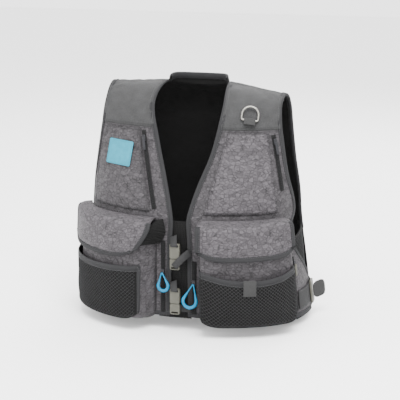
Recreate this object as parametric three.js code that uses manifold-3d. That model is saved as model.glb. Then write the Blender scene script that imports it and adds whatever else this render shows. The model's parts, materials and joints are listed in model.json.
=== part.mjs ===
// A fly-fishing vest, worn open: a curved ripstop body with over-the-shoulder yokes, two chest
// pockets, two bellows cargo pockets with flaps and outer mesh pockets, zips with cord-loop pulls,
// a D-ring, two front closure buckles and webbing straps at the sides.
// Millimetres. +Z is up, the front faces -Y, the wearer's left is +X. The origin is the middle of
// the shoulder line, where the vest hangs on its wearer.
import * as THREE from 'three';
import { mergeVertices } from 'three/addons/utils/BufferGeometryUtils.js';
import Module from 'manifold-3d';

const wasm = await Module();
wasm.setup();

// ---- Driving dimensions -------------------------------------------------------------------
// The body is a rounded tube between three heights, and rolls over the shoulders above the first.
const yokeSeamZ = -83;
const flapSeamZ = -250;
const hemZ = -460;
const chestHalfWidth = 205;
const waistHalfWidth = 213;
const hipHalfWidthRight = 224;
const hipHalfWidthLeft = 238;
const chestDepthFront = 95;
const waistDepthFront = 145;
const hemDepthFront = 150;
const chestDepthBack = 95;
const waistDepthBack = 118;
const hemDepthBack = 128;
const squareness = 2.4;
// The shoulder line that front and back yokes meet on.
const shoulderY = 8;
const shoulderNeckZ = -4;
const shoulderDropRight = 0.04;
const shoulderDropLeft = 0.16;
const neckHalfWidth = 64;
const shoulderHalfWidth = 178;
const yokeReach = 125;
// Cloth and how the layers lie on each other.
const shellThickness = 3;
const layerGap = 0.7;
const sideGap = 2.1;
const placketGap = 0.9;
const seamGap = 0.8;
const seatGap = 0.35;
const sidePanelBottom = -464;
const neckDip = 40;
const collarHeight = 20;
const collarThickness = 3;
const collarLean = 3;
const collarClearance = 1.15;
const bindingOverhang = 2;
const bindingWidth = 10;
const bindingThickness = 1.6;
// The armhole tape stands further off a hip that is wider than this.
const armGapHip = 238;
// Chest pockets and their zips.
const chestPocketBulge = 7;
const zipWidth = 8;
const zipThickness = 1.5;
const patchWidth = 57;
const patchHeight = 49;
const patchThickness = 1.6;
const patchCorner = 2.5;
// Cargo pockets: how far the front stands off the body at its inner and outer corners.
const cargoDepthInner = 38;
const cargoDepthOuter = 16;
const cargoDepthOuterLeft = 28;
const cargoWall = 2.4;
const cargoBottomZ = -460;
const browDrop = 14;
const flapThickness = 2.4;
const flapBottomRight = -329;
const flapBottomLeft = -322;
const meshTopZ = -344;
const meshBulge = 14;
const meshThickness = 1.6;
const meshTabWidth = 25;
const meshTabHeight = 31;
const meshTabThickness = 2;
// Webbing and hardware.
const closureWebbing = 14;
const webbingThickness = 1.8;
const buckleWidth = 20;
const buckleHalfLength = 30;
const buckleThickness = 9;
const closureStandOff = 4;
const sideWebbing = 38;
const sideStrapZ = -424;
const ladderWidth = 48;
const ladderHeight = 26;
const ladderThickness = 4;
const tailLength = 34;
const ringWidth = 36;
const ringHeight = 31;
const ringWire = 4;
const sliderWidth = 7;
const sliderLength = 12;
const sliderHeight = 4;
const sliderGap = 0.6;
const smallPullLength = 24;
const rightLoopRadius = 13.5;
const leftLoopRadius = 16.5;
const loopWire = 4.6;
const loopNeck = 3.4;
const pullWidth = 6;
const pullThickness = 1.8;
const ringBarV = -62;
const keeperWidth = 22;
const keeperHeight = 9;
const tunnelSize = 6;
const flapMiddle = 118;
const flapHalfWidth = 84;
const flapCorner = 14;
const flapGap = 1.3;
const browShare = 0.2;
const meshTabStandOff = 2.4;
const ladderDegrees = 92;
const tailSwing = 0.6;
const backPocketBulge = 9;
const hangLoopWidth = 60;
const hangLoopRise = 9;
const hangLoopTape = 9;
const hangLoopV = -30;

// ---- Looks --------------------------------------------------------------------------------
const look = (color, roughness, metalness = 0) => ({ color, roughness, metalness });
const ripstop = look(0x6f6b70, 0.75);
const plainWeave = look(0x5f5d60, 0.8);
const tape = look(0x56555a, 0.85);
const mesh = look(0x1c1c1f, 0.9);
const webbing = look(0x5a5a5c, 0.8);
const plastic = look(0x9a9a90, 0.5);
const darkPlastic = look(0x3c3d40, 0.5);
const zipTape = look(0x2b2b2e, 0.8);
const steel = look(0xb9b8b4, 0.3, 1);
const cyanRubber = look(0x23b4dc, 0.5);
const cyanPatch = look(0x86d3e2, 0.6);

const vest = new THREE.Group();
const add = (name, geometry, finish, parent = vest) => {
  const part = new THREE.Mesh(geometry, new THREE.MeshStandardMaterial(finish));
  part.name = name;
  parent.add(part);
  return part;
};

// ---- The body surface ---------------------------------------------------------------------
// u runs round the body in radians: 0 is the front centre, a quarter turn the wearer's left.
// v is the height in mm up to the yoke seam, and then runs on over the shoulder to the ridge.
const ridgeV = yokeSeamZ + yokeReach;
const mix = (a, b, t) => a + (b - a) * t;
const between = (v, top, middle, bottom) => (v > flapSeamZ
  ? mix(middle, top, (v - flapSeamZ) / (yokeSeamZ - flapSeamZ))
  : mix(middle, bottom, (v - flapSeamZ) / (hemZ - flapSeamZ)));
const halfWidth = (v, left) => between(v, chestHalfWidth, waistHalfWidth,
  left ? hipHalfWidthLeft : hipHalfWidthRight);
const halfDepth = (v, back) => (back ? between(v, chestDepthBack, waistDepthBack, hemDepthBack)
  : between(v, chestDepthFront, waistDepthFront, hemDepthFront));
const rounded = (q) => Math.sign(q) * Math.abs(q) ** (2 / squareness);

function tubePoint(u, v) {
  const x = halfWidth(v, Math.sin(u) > 0) * rounded(Math.sin(u));
  const y = -halfDepth(v, Math.cos(u) < 0) * rounded(Math.cos(u));
  return new THREE.Vector3(x, y, v);
}

function bodyPoint(u, v) {
  if (v <= yokeSeamZ) return tubePoint(u, v);
  const start = tubePoint(u, yokeSeamZ);
  const lean = (start.y - tubePoint(u, flapSeamZ).y) / (yokeSeamZ - flapSeamZ);
  const drop = start.x < 0 ? shoulderDropRight : shoulderDropLeft;
  const ridgeZ = shoulderNeckZ - drop * Math.max(0, Math.abs(start.x) - neckHalfWidth);
  const rise = 0.6 * (ridgeZ - yokeSeamZ);
  const t = (v - yokeSeamZ) / yokeReach;
  const bend = new THREE.CubicBezierCurve(
    new THREE.Vector2(start.y, yokeSeamZ),
    new THREE.Vector2(start.y + lean * rise, yokeSeamZ + rise),
    new THREE.Vector2(mix(shoulderY, start.y, 0.5), ridgeZ),
    new THREE.Vector2(shoulderY, ridgeZ),
  ).getPoint(t);
  return new THREE.Vector3(start.x, bend.x, bend.y);
}

function bodyNormal(u, v) {
  const e = 0.004;
  const low = Math.min(v, ridgeV - 0.6);
  const along = bodyPoint(u + e, low).sub(bodyPoint(u - e, low));
  const up = bodyPoint(u, low + 0.5).sub(bodyPoint(u, low - 0.5));
  return along.cross(up).normalize();
}

const skin = (u, v, out) => bodyPoint(u, v).addScaledVector(bodyNormal(u, v), out);

// The surface position of a place given by its sideways distance and its height.
function place(x, v, back = false) {
  const share = Math.min(1, Math.abs(x) / halfWidth(Math.min(v, yokeSeamZ), x > 0));
  const angle = Math.asin(share ** (squareness / 2));
  if (back) return new THREE.Vector2(Math.PI - Math.sign(x) * angle, v);
  return new THREE.Vector2(Math.sign(x) * angle, v);
}
const around = (degrees, v) => new THREE.Vector2(THREE.MathUtils.degToRad(degrees), v);
const curve = (...points) => new THREE.SplineCurve(points);
const straight = (a, b) => new THREE.LineCurve(a, b);

// ---- Closed solids from grids --------------------------------------------------------------
const steps = (count) => Array.from({ length: count + 1 }, (_, i) => i / count);

function closed(positions, index) {
  const geometry = new THREE.BufferGeometry();
  geometry.setAttribute('position', new THREE.Float32BufferAttribute(positions, 3));
  let volume = 0;
  const corner = (k) => new THREE.Vector3().fromArray(positions, 3 * index[k]);
  for (let k = 0; k < index.length; k += 3) {
    volume += corner(k).dot(corner(k + 1).cross(corner(k + 2)));
  }
  geometry.setIndex(volume < 0 ? index.toReversed() : index);
  return geometry;
}

// A sheet with an outer and an inner face, each a function of (s, t), walled round its edge.
function sheet(outer, inner, cols, rows) {
  const positions = [];
  for (const face of [outer, inner]) {
    for (const t of rows) for (const s of cols) positions.push(...face(s, t).toArray());
  }
  const across = cols.length;
  const up = rows.length;
  const at = (side, i, j) => side * across * up + j * across + i;
  const index = [];
  const quad = (a, b, c, d) => index.push(a, b, c, a, c, d);
  for (let j = 0; j < up - 1; j += 1) {
    for (let i = 0; i < across - 1; i += 1) {
      quad(at(0, i, j), at(0, i + 1, j), at(0, i + 1, j + 1), at(0, i, j + 1));
      quad(at(1, i, j), at(1, i, j + 1), at(1, i + 1, j + 1), at(1, i + 1, j));
    }
  }
  for (let i = 0; i < across - 1; i += 1) {
    quad(at(0, i, 0), at(1, i, 0), at(1, i + 1, 0), at(0, i + 1, 0));
    quad(at(0, i, up - 1), at(0, i + 1, up - 1), at(1, i + 1, up - 1), at(1, i, up - 1));
  }
  for (let j = 0; j < up - 1; j += 1) {
    quad(at(0, 0, j), at(0, 0, j + 1), at(1, 0, j + 1), at(1, 0, j));
    quad(at(0, across - 1, j), at(1, across - 1, j), at(1, across - 1, j + 1), at(0, across - 1, j + 1));
  }
  return closed(positions, index);
}

// A piece of cloth between two edges drawn on the body, from one height off it to another.
const ruled = (left, right) => (s, t) => left.getPointAt(t).lerp(right.getPointAt(t), s);
const height = (value) => (typeof value === 'function' ? value : () => value);
function cloth(left, right, low, high, cols, rows) {
  const at = ruled(left, right);
  const face = (out) => (s, t) => {
    const p = at(s, t);
    return skin(p.x, p.y, height(out)(s, t));
  };
  return sheet(face(high), face(low), steps(cols), steps(rows));
}

// A flat strip along a line of points, each with its outward direction. shift moves it sideways.
function strip(points, normals, width, low, high, shift = 0) {
  const side = points.map((p, i) => {
    const ahead = points[Math.min(i + 1, points.length - 1)];
    const behind = points[Math.max(i - 1, 0)];
    return ahead.clone().sub(behind).cross(normals[i]).normalize();
  });
  const last = points.length - 1;
  const face = (out) => (s, t) => {
    const i = Math.round(t * last);
    return points[i].clone().addScaledVector(normals[i], out)
      .addScaledVector(side[i], shift + (s - 0.5) * width);
  };
  return sheet(face(high), face(low), [0, 1], steps(last));
}
function tapeOnBody(line, width, low, high, count, shift = 0) {
  const path = steps(count).map((t) => line.getPointAt(t));
  return strip(path.map((p) => bodyPoint(p.x, p.y)), path.map((p) => bodyNormal(p.x, p.y)),
    width, low, high, shift);
}

// Booleans and flat outlines for the hardware.
function solid(geometry) {
  const plain = geometry.clone();
  plain.deleteAttribute('normal');
  plain.deleteAttribute('uv');
  const merged = mergeVertices(plain, 1e-4);
  return new wasm.Manifold(new wasm.Mesh({
    numProp: 3,
    vertProperties: new Float32Array(merged.attributes.position.array),
    triVerts: new Uint32Array(merged.index.array),
  }));
}
function toGeometry(shape) {
  const { vertProperties, triVerts } = shape.getMesh();
  const geometry = new THREE.BufferGeometry();
  geometry.setAttribute('position', new THREE.Float32BufferAttribute(vertProperties, 3));
  geometry.setIndex(Array.from(triVerts));
  return geometry;
}
const block = (x, y, z, at = [0, 0, 0]) => solid(new THREE.BoxGeometry(x, y, z).translate(...at));
const plate = (outline, depth, bevel = 0, curveSegments = 1) => new THREE.ExtrudeGeometry(outline, {
  depth: depth - 2 * bevel,
  bevelEnabled: bevel > 0,
  bevelSize: bevel,
  bevelThickness: bevel,
  bevelOffset: -bevel,
  bevelSegments: 1,
  curveSegments,
}).translate(0, 0, bevel - depth / 2);
function roundedBox(width, tall, radius) {
  const shape = new THREE.Shape();
  const w = width / 2;
  const h = tall / 2;
  shape.absarc(w - radius, h - radius, radius, 0, Math.PI / 2);
  shape.absarc(radius - w, h - radius, radius, Math.PI / 2, Math.PI);
  shape.absarc(radius - w, radius - h, radius, Math.PI, 1.5 * Math.PI);
  shape.absarc(w - radius, radius - h, radius, 1.5 * Math.PI, 2 * Math.PI);
  shape.closePath();
  return shape;
}

// Stands a flat piece on a point: its own X across, its own Y along `up`, its own Z outwards.
function seat(part, point, outward, up) {
  const z = outward.clone().normalize();
  const x = up.clone().cross(z).normalize();
  const y = z.clone().cross(x);
  part.quaternion.setFromRotationMatrix(new THREE.Matrix4().makeBasis(x, y, z));
  part.position.copy(point);
  return part;
}
const zUp = new THREE.Vector3(0, 0, 1);

// ---- Edges of the body pieces ---------------------------------------------------------------
// `side` is -1 for the wearer's right and 1 for the left. The left half hangs a little wider.
const frontEdge = (side) => (side < 0
  ? curve(place(-17, -446), place(-14, -300), place(-13, flapSeamZ), place(-31, -178),
    place(-50, -115), place(-59, yokeSeamZ))
  : curve(place(22, -446), place(20, -300), place(18, flapSeamZ), place(34, -190),
    place(56, -130), place(66, yokeSeamZ)));
const sideEdge = (side) => curve(around(side * 92, hemZ), around(side * 92, -385),
  around(side * 68, -292), place(side * 209, -240), place(side * 196, -165),
  place(side * 183, yokeSeamZ));
const yokeInner = (side) => curve(place(side < 0 ? -59 : 66, yokeSeamZ),
  place(side * 71, mix(yokeSeamZ, ridgeV, 0.4)), place(side * neckHalfWidth, ridgeV));
const yokeOuter = (side) => curve(place(side * 183, yokeSeamZ),
  place(side * 178, mix(yokeSeamZ, ridgeV, 0.5)), place(side * shoulderHalfWidth, ridgeV));
// An edge that stops a seam's gap short of its top, so that two cloths meet without touching.
const lowered = (line) => ({
  getPointAt: (t) => {
    const p = line.getPointAt(t);
    return new THREE.Vector2(p.x, p.y - seamGap * t);
  },
});

// The two front halves, their yokes over the shoulders, and the mesh panels under the arms.
function makeFront(side) {
  const word = side < 0 ? 'right' : 'left';
  add(`${word}_front_panel`, cloth(lowered(sideEdge(side)), lowered(frontEdge(side)),
    -shellThickness, 0, 11, 15), ripstop);
  add(`${word}_yoke`, cloth(lowered(yokeOuter(side)), lowered(yokeInner(side)),
    -shellThickness, 0, 6, 8), plainWeave);
  const under = -shellThickness - sideGap;
  add(`${word}_side_panel`, cloth(
    straight(around(side * 70, sidePanelBottom), around(side * 70, -302)),
    straight(around(side * 112, sidePanelBottom), around(side * 112, -288)),
    under - shellThickness, under, 8, 8,
  ), mesh);
}

// The back goes from side seam to side seam, cut away at the armholes.
function backEdge(side) {
  const turn = (p) => (side > 0 ? p : new THREE.Vector2(2 * Math.PI - p.x, p.y));
  return lowered(curve(turn(around(100, hemZ)), turn(around(101, -360)), turn(around(107, -285)),
    turn(place(206, -230, true)), turn(place(193, -160, true)), turn(place(184, yokeSeamZ, true))));
}

// The back yoke's top runs along both shoulder lines and dips round the back of the neck.
const neckDrop = (x) => {
  const inside = Math.min(1, Math.abs(x) / neckHalfWidth);
  return neckDip * Math.sqrt(Math.max(0, 1 - inside ** 2.6));
};
function backYoke() {
  const face = (out) => (s, t) => {
    const wide = mix(184, shoulderHalfWidth, t);
    const x = mix(wide, -wide, s);
    const p = place(x, mix(yokeSeamZ, ridgeV - neckDrop(x), t), true);
    return skin(p.x, p.y, out);
  };
  return sheet(face(0), face(-shellThickness), steps(20), steps(7));
}

// The knitted collar stands round the back of the neck, just inside the yokes' neck edge.
function collar() {
  const inside = (neckHalfWidth - collarClearance) / neckHalfWidth;
  const face = (depth) => (s, t) => {
    const x = neckHalfWidth * Math.cos(Math.PI * mix(0.02, 0.98, s));
    const p = place(x * inside, ridgeV - seamGap - neckDrop(x) + collarClearance, true);
    const foot = bodyPoint(p.x, p.y);
    const outward = new THREE.Vector3(foot.x, 1.3 * (foot.y - shoulderY), 0).normalize();
    const rise = collarHeight * mix(0.4, 1, Math.sin(Math.PI * s) ** 0.7);
    return foot.addScaledVector(outward, -depth - collarLean * t).add(
      new THREE.Vector3(0, 0, t * rise),
    );
  };
  return sheet(face(0), face(collarThickness), steps(18), [0, 1]);
}

function makeBody() {
  makeFront(-1);
  makeFront(1);
  add('back_panel', cloth(backEdge(1), backEdge(-1), -shellThickness, 0, 16, 10), ripstop);
  add('back_yoke', backYoke(), plainWeave);
  add('collar', collar(), plainWeave);
  const low = -2 * shellThickness - placketGap;
  add('front_placket', cloth(curve(place(-40, -440), place(-36, -256)),
    curve(place(12, -440), place(8, -256)), low, low + shellThickness, 5, 6), mesh);
}

// Bindings: tape sewn over the raw edges, here on the outer face just inside each edge.
function makeBindings() {
  for (const side of [-1, 1]) {
    const word = side < 0 ? 'right' : 'left';
    const inward = side * (bindingWidth / 2 - bindingOverhang);
    add(`${word}_neck_binding`, tapeOnBody(frontEdge(side), bindingWidth, seamGap,
      seamGap + bindingThickness, 26, -inward), tape);
    const arm = curve(around(side * 90, -372), around(side * 68, -292), place(side * 209, -240),
      place(side * 196, -165), place(side * 183, yokeSeamZ - 2));
    const armGap = seamGap * Math.max(1, (side < 0 ? hipHalfWidthRight : hipHalfWidthLeft) / armGapHip);
    add(`${word}_armhole_binding`, tapeOnBody(arm, bindingWidth, armGap,
      armGap + bindingThickness, 24, inward), tape);
  }
}

// ---- Chest pockets -------------------------------------------------------------------------
// A patch pocket: flat at its edges, crowned in the middle.
const crownAlong = (q) => Math.min(1, 3.2 * Math.sin(Math.PI * q));
const crown = (s, t) => crownAlong(s) * crownAlong(t);
function makeChestPockets() {
  const low = layerGap;
  const pocket = (left, right) => cloth(left, right, low,
    (s, t) => low + bindingThickness + chestPocketBulge * crown(s, t), 7, 9);
  add('right_chest_pocket', pocket(
    curve(place(-190, -241), place(-184, -165), place(-168, -88)),
    straight(place(-57.5, -241), place(-92, -88)),
  ), ripstop);
  add('left_chest_pocket', pocket(
    curve(place(48, -241), place(66, -165), place(84, -88)),
    curve(place(184, -241), place(172, -165), place(160, -88)),
  ), ripstop);
  makeZip('right_chest', place(-50, -235), place(-84, -90), 0.9);
  makeZip('left_chest', place(189, -200), place(169, -92), 0.88);
}

// A zip: its tape on the body, a slider that runs along it and a pull that hangs from the slider.
// The slider rests at the share `rest` of the way up, and its pull is a bar or a cord loop.
function makeZip(word, bottom, top, rest, pull = smallPull) {
  const line = straight(bottom, top);
  add(`${word}_zip`, tapeOnBody(line, zipWidth, layerGap, layerGap + zipThickness, 8), zipTape);
  const p = line.getPointAt(rest);
  const outward = bodyNormal(p.x, p.y);
  const along = bodyPoint(top.x, top.y).sub(bodyPoint(bottom.x, bottom.y)).normalize();
  const seatHeight = layerGap + zipThickness + sliderGap + sliderHeight / 2;
  const slider = add(`${word}_slider`, plate(roundedBox(sliderWidth, sliderLength, 2),
    sliderHeight, 0.6), darkPlastic);
  seat(slider, skin(p.x, p.y, seatHeight), outward, along);
  pull(word, skin(p.x, p.y, seatHeight + sliderHeight / 2 + seatGap), outward, along);
}

// A short flat pull that turns on its top end, clear of the slider below it.
function smallPull(word, point, outward, along) {
  const shape = new THREE.Shape();
  const half = pullWidth / 2;
  shape.absarc(0, -half, half, 0, Math.PI);
  shape.lineTo(-half * 0.8, -smallPullLength);
  shape.lineTo(half * 0.8, -smallPullLength);
  shape.closePath();
  const finish = word === 'left_side' ? plastic : darkPlastic;
  const part = add(`${word}_pull`, plate(shape, pullThickness, 0, 2), finish);
  seat(part, point.clone().addScaledVector(outward, pullThickness / 2), outward, along);
}

// A loop pull: a moulded ring that hangs from the slider by a short neck.
const loopPull = (radius, reach, lean) => (word, point, outward, along) => {
  const shape = new THREE.Shape();
  const meet = Math.asin(loopNeck / radius);
  shape.absarc(0, -loopNeck, loopNeck, 0, Math.PI);
  shape.absarc(0, -reach, radius, Math.PI / 2 + meet, 2.5 * Math.PI - meet);
  shape.closePath();
  const hole = new THREE.Path();
  hole.absarc(0, -reach, radius - loopWire, 0, 2 * Math.PI, true);
  shape.holes.push(hole);
  const part = add(`${word}_pull`, plate(shape, loopWire, 0, 8), cyanRubber);
  const up = along.clone().applyAxisAngle(outward, lean);
  seat(part, point.clone().addScaledVector(outward, loopWire / 2), outward, up);
};

// ---- Cargo pockets --------------------------------------------------------------------------
// Each pocket runs from its foot at one side to its foot at the other, seen from the front, with
// s from the wearer's right to left. `corner` is the width of the wall at each end, as a share.
const cargo = {
  right: {
    side: -1, feet: [around(-80, 0).x, place(-43, -350).x], corner: [0.06, 0.14],
    footing: [layerGap + seamGap + bindingThickness, layerGap],
    depth: [cargoDepthOuter, cargoDepthInner], flapBottom: flapBottomRight, flare: 9, sag: 6,
  },
  left: {
    side: 1, feet: [place(44, -350).x, around(63, 0).x], corner: [0.035, 0.09],
    footing: [layerGap, layerGap],
    depth: [cargoDepthInner, cargoDepthOuterLeft], flapBottom: flapBottomLeft, flare: 0, sag: 17,
  },
};
const frontColumns = 8;
const frontRows = 5;
const depthAt = (bag, s) => mix(bag.depth[0], bag.depth[1], s);
const rampAcross = (bag, s) => Math.min(1, s / bag.corner[0], (1 - s) / bag.corner[1]);
const columnsOf = (bag) => [0,
  ...steps(frontColumns).map((s) => mix(bag.corner[0], 1 - bag.corner[1], s)), 1];
const foldShare = 0.05;
const rowsOf = () => [0, ...steps(frontRows).map((t) => mix(foldShare, 1, t))];

// The shell of the pocket: front, two side walls and a bottom, open under the flap.
function cargoShell(bag) {
  const face = (inset) => (s, t) => {
    const share = inset / 180;
    const across = mix(share, 1 - share, s);
    const out = rampAcross(bag, s) * Math.min(1, t / foldShare);
    const top = flapSeamZ - 8 - browDrop * rampAcross(bag, s);
    const v = mix(cargoBottomZ + inset, top, t);
    const u = mix(bag.feet[0], bag.feet[1], across);
    return skin(u, v, mix(...bag.footing, s) + out * (depthAt(bag, s) - inset));
  };
  return sheet(face(0), face(cargoWall), columnsOf(bag), rowsOf());
}

// The mesh pocket lies on the cargo pocket's front, bellied out and open along its bound top.
function meshPocket(bag) {
  const face = (out) => (s, t) => {
    const across = mix(bag.corner[0], 1 - bag.corner[1], s);
    const top = meshTopZ - bag.sag * Math.sin(Math.PI * s);
    const v = mix(cargoBottomZ + 10, top, t);
    const belly = meshBulge * Math.min(1, 1.6 * Math.sin(Math.PI * s)) * Math.sin(0.5 * Math.PI * t);
    const u = mix(bag.feet[0], bag.feet[1], across);
    return skin(u, v, mix(...bag.footing, s) + layerGap + depthAt(bag, across) + belly + out);
  };
  return sheet(face(meshThickness), face(0), steps(frontColumns), steps(4));
}

// The flap turns on a straight line that touches the body at the middle of its seam.
function flapHinge(bag) {
  const middle = bag.side * flapMiddle;
  const at = place(middle, flapSeamZ - 2);
  const point = skin(at.x, at.y, seatGap + flapThickness / 2);
  const axis = bodyPoint(at.x + 0.01, at.y).sub(bodyPoint(at.x - 0.01, at.y)).setZ(0).normalize();
  return { point, axis, outward: axis.clone().cross(zUp) };
}

function flap(bag) {
  const hinge = flapHinge(bag);
  const inner = (v) => {
    const drop = Math.max(0, flapSeamZ - browDrop - v) / (flapSeamZ - bag.flapBottom);
    return bag.side < 0 ? place(-44 - 52 * drop ** 1.3, v).x : place(43, v).x;
  };
  const outer = (v) => around(bag.side < 0 ? -75 : 61, v).x;
  const face = (out) => (s, t) => {
    if (t === 0) {
      return hinge.point.clone().addScaledVector(hinge.axis, mix(-flapHalfWidth, flapHalfWidth, s))
        .addScaledVector(hinge.outward, out);
    }
    const round = flapCorner * Math.abs(2 * s - 1) ** 6 * (t === 1 ? 1 : 0);
    const v = mix(flapSeamZ - browDrop, bag.flapBottom + round, (t - browShare) / (1 - browShare));
    const [low, high] = bag.side < 0 ? [outer(v), inner(v)] : [inner(v), outer(v)];
    const flare = bag.flare * (1 - s) ** 3;
    const lift = mix(...bag.footing, s) + flapGap + flapThickness / 2 + flare + depthAt(bag, s);
    return skin(mix(low, high, s), v, lift + out);
  };
  const half = flapThickness / 2;
  return sheet(face(half), face(-half), steps(9), [0, browShare, 0.4, 0.6, 0.8, 1]);
}

// The pleated mesh that closes the top corner between the flap and the pocket's inner wall.
function cornerGusset() {
  const pleats = 7;
  const left = straight(place(-40.5, -290), place(-39, -257));
  const right = straight(place(-34, -290), place(-26, -257));
  return cloth(left, right, layerGap, (s) => layerGap + 1.4 + 2.2 * (Math.round(s * pleats) % 2),
    pleats, 3);
}

function makeCargoPockets() {
  for (const [word, bag] of Object.entries(cargo)) {
    add(`${word}_cargo_pocket`, cargoShell(bag), ripstop);
    add(`${word}_mesh_pocket`, meshPocket(bag), mesh);
    add(`${word}_flap`, flap(bag), ripstop);
  }
  add('right_corner_gusset', cornerGusset(), mesh);
  const tabAt = place(133, -372);
  const tabShape = new THREE.BoxGeometry(meshTabWidth, meshTabHeight, meshTabThickness);
  const tab = add('mesh_tab', tabShape, tape);
  const [first, last] = cargo.left.feet;
  const innerShare = (place(133 - meshTabWidth / 2, -372).x - first) / (last - first);
  const out = depthAt(cargo.left, innerShare) + meshBulge + meshThickness + meshTabStandOff;
  seat(tab, skin(tabAt.x, tabAt.y, out), bodyNormal(tabAt.x, tabAt.y), zUp);
  makeZip('right_front', place(-30, -440), place(-30, -296), 0.57, loopPull(rightLoopRadius, 27, 0.1));
  makeZip('left_front', place(33, -440), place(33, -334), 0.6, loopPull(leftLoopRadius, 36, -0.2));
  makeZip('left_side', around(68, -444), around(68, -334), 0.88);
}

// ---- D-ring, badge, closures and side straps --------------------------------------------------
function makeRing() {
  const shape = new THREE.Shape();
  const half = ringWidth / 2;
  const rise = ringHeight - half;
  shape.moveTo(-half, -ringWire);
  shape.lineTo(half, -ringWire);
  shape.lineTo(half, rise - ringWire);
  shape.absarc(0, rise - ringWire, half, 0, Math.PI);
  shape.closePath();
  const hole = new THREE.Path();
  const inner = half - ringWire;
  hole.moveTo(inner, 0);
  hole.lineTo(-inner, 0);
  hole.absarc(0, rise - ringWire, inner, Math.PI, 0, true);
  hole.closePath();
  shape.holes.push(hole);
  const at = place(124, ringBarV);
  const outward = bodyNormal(at.x, at.y);
  const up = skin(at.x, at.y + 8, 0).sub(skin(at.x, at.y, 0));
  const centre = layerGap + keeperHeight / 2;
  const ring = add('d_ring', plate(shape, ringWire, 0, 6), steel);
  seat(ring, skin(at.x, at.y, centre), outward, up);
  // The keeper is a webbing tunnel round the ring's straight bar.
  const outer = block(keeperWidth, ringWire + 9, keeperHeight, [0, -4.5, 0]);
  const tunnel = block(keeperWidth + 2, tunnelSize, tunnelSize, [0, -ringWire / 2, 0]);
  const keeper = add('d_ring_keeper', toGeometry(outer.subtract(tunnel)), webbing);
  seat(keeper, skin(at.x, at.y, centre), outward, up);
}

function makeBadge() {
  const at = place(-127, -136);
  const outline = roundedBox(patchWidth, patchHeight, patchCorner);
  const badge = add('chest_badge', plate(outline, patchThickness), cyanPatch);
  const out = layerGap + bindingThickness + chestPocketBulge + seatGap + patchThickness / 2;
  const tilt = new THREE.Vector3(0.05, 0, 1);
  seat(badge, skin(at.x, at.y, out), bodyNormal(at.x, at.y), tilt);
}

// A side-release buckle hangs upright in the front opening. Its lower half pulls out downwards.
function makeClosure(word, x, topZ, strapFrom) {
  const outward = new THREE.Vector3(0, -1, 0);
  const y = -Math.max(waistDepthFront, hemDepthFront) - closureStandOff - buckleThickness / 2;
  const cavity = block(buckleWidth - 5, buckleHalfLength - 6, buckleThickness - 4, [0, -4, 0]);
  const slot = block(buckleWidth - 5, 3, buckleThickness + 2, [0, buckleHalfLength / 2 - 4, 0]);
  const window = block(buckleWidth + 2, 9, 3, [0, -2, 0]);
  const socket = solid(plate(roundedBox(buckleWidth, buckleHalfLength, 3), buckleThickness, 1));
  const female = add(`${word}_buckle_socket`,
    toGeometry(socket.subtract(cavity).subtract(slot).subtract(window)), plastic);
  seat(female, new THREE.Vector3(x, y, topZ - buckleHalfLength / 2), outward, zUp);
  const base = solid(plate(roundedBox(buckleWidth, buckleHalfLength - 8, 3), buckleThickness - 2, 1));
  const bar = block(buckleWidth - 6, 3.5, buckleThickness, [0, 8 - buckleHalfLength / 2, 0]);
  const prong = (sign) => block(3, buckleHalfLength - 12, buckleThickness - 5.4,
    [sign * (buckleWidth / 2 - 4.6), buckleHalfLength / 2, 0]);
  const plug = base.subtract(bar).add(prong(1)).add(prong(-1));
  const male = add(`${word}_buckle_plug`, toGeometry(plug), plastic);
  const plugZ = topZ - buckleHalfLength - seatGap - (buckleHalfLength - 8) / 2;
  seat(male, new THREE.Vector3(x, y, plugZ), outward, zUp);
  // Webbing: a short tab from the right edge, and a strap that slants in from the left edge.
  const front = y - buckleThickness / 2 - seatGap;
  const webbingOn = (name, points) => add(`${word}_${name}`, strip(
    points.map((p) => new THREE.Vector3(...p)), points.map(() => outward),
    closureWebbing, 0, webbingThickness,
  ), webbing);
  const half = closureWebbing / 2;
  const sewn = (z) => Math.min(tubePoint(0.1, z - half).y, tubePoint(0.1, z + half).y)
    - seamGap - bindingThickness - seatGap;
  webbingOn('buckle_tab', [[x - 5, sewn(topZ + 13) - 0.33, topZ + 13], [x - 1, front, topZ + 2],
    [x, front, topZ - 5]]);
  webbingOn('closure_strap', strapFrom(x, plugZ, front, sewn));
}

// A wide strap at the side, from behind the cargo pocket to the back, with its ladder lock.
function makeSideStrap(side) {
  const word = side < 0 ? 'right' : 'left';
  const out = layerGap;
  const start = side < 0 ? -83 : 71;
  const line = straight(around(start, sideStrapZ), around(side * 119, sideStrapZ));
  add(`${word}_side_strap`, tapeOnBody(line, sideWebbing, out, out + webbingThickness, 9), webbing);
  const at = around(side * ladderDegrees, sideStrapZ);
  const outward = bodyNormal(at.x, at.y);
  const frame = solid(plate(roundedBox(ladderHeight, ladderWidth, 4), ladderThickness, 0.8));
  const slot = (y) => block(3.6, ladderWidth - 9, ladderThickness + 2, [y, 0, 0]);
  const lockShape = toGeometry(frame.subtract(slot(-6.5)).subtract(slot(6.5)));
  const lock = add(`${word}_ladder_lock`, lockShape, plastic);
  const lockOut = out + webbingThickness + seatGap + ladderThickness / 2;
  seat(lock, skin(at.x, at.y, lockOut), outward, zUp);
  const tailShape = plate(roundedBox(tailLength, sideWebbing - 4, 9), webbingThickness);
  const tail = add(`${word}_strap_tail`, tailShape, webbing);
  const across = zUp.clone().cross(outward).normalize();
  const lockUp = outward.clone().cross(across);
  const swing = side * tailSwing;
  const direction = across.multiplyScalar(side).applyAxisAngle(lockUp, -swing);
  const facing = outward.clone().applyAxisAngle(lockUp, -swing);
  const root = skin(at.x, at.y, lockOut + ladderThickness / 2 + seatGap + webbingThickness / 2);
  seat(tail, root.addScaledVector(direction, tailLength / 2).addScaledVector(facing, 0.3), facing, lockUp);
}

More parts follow.
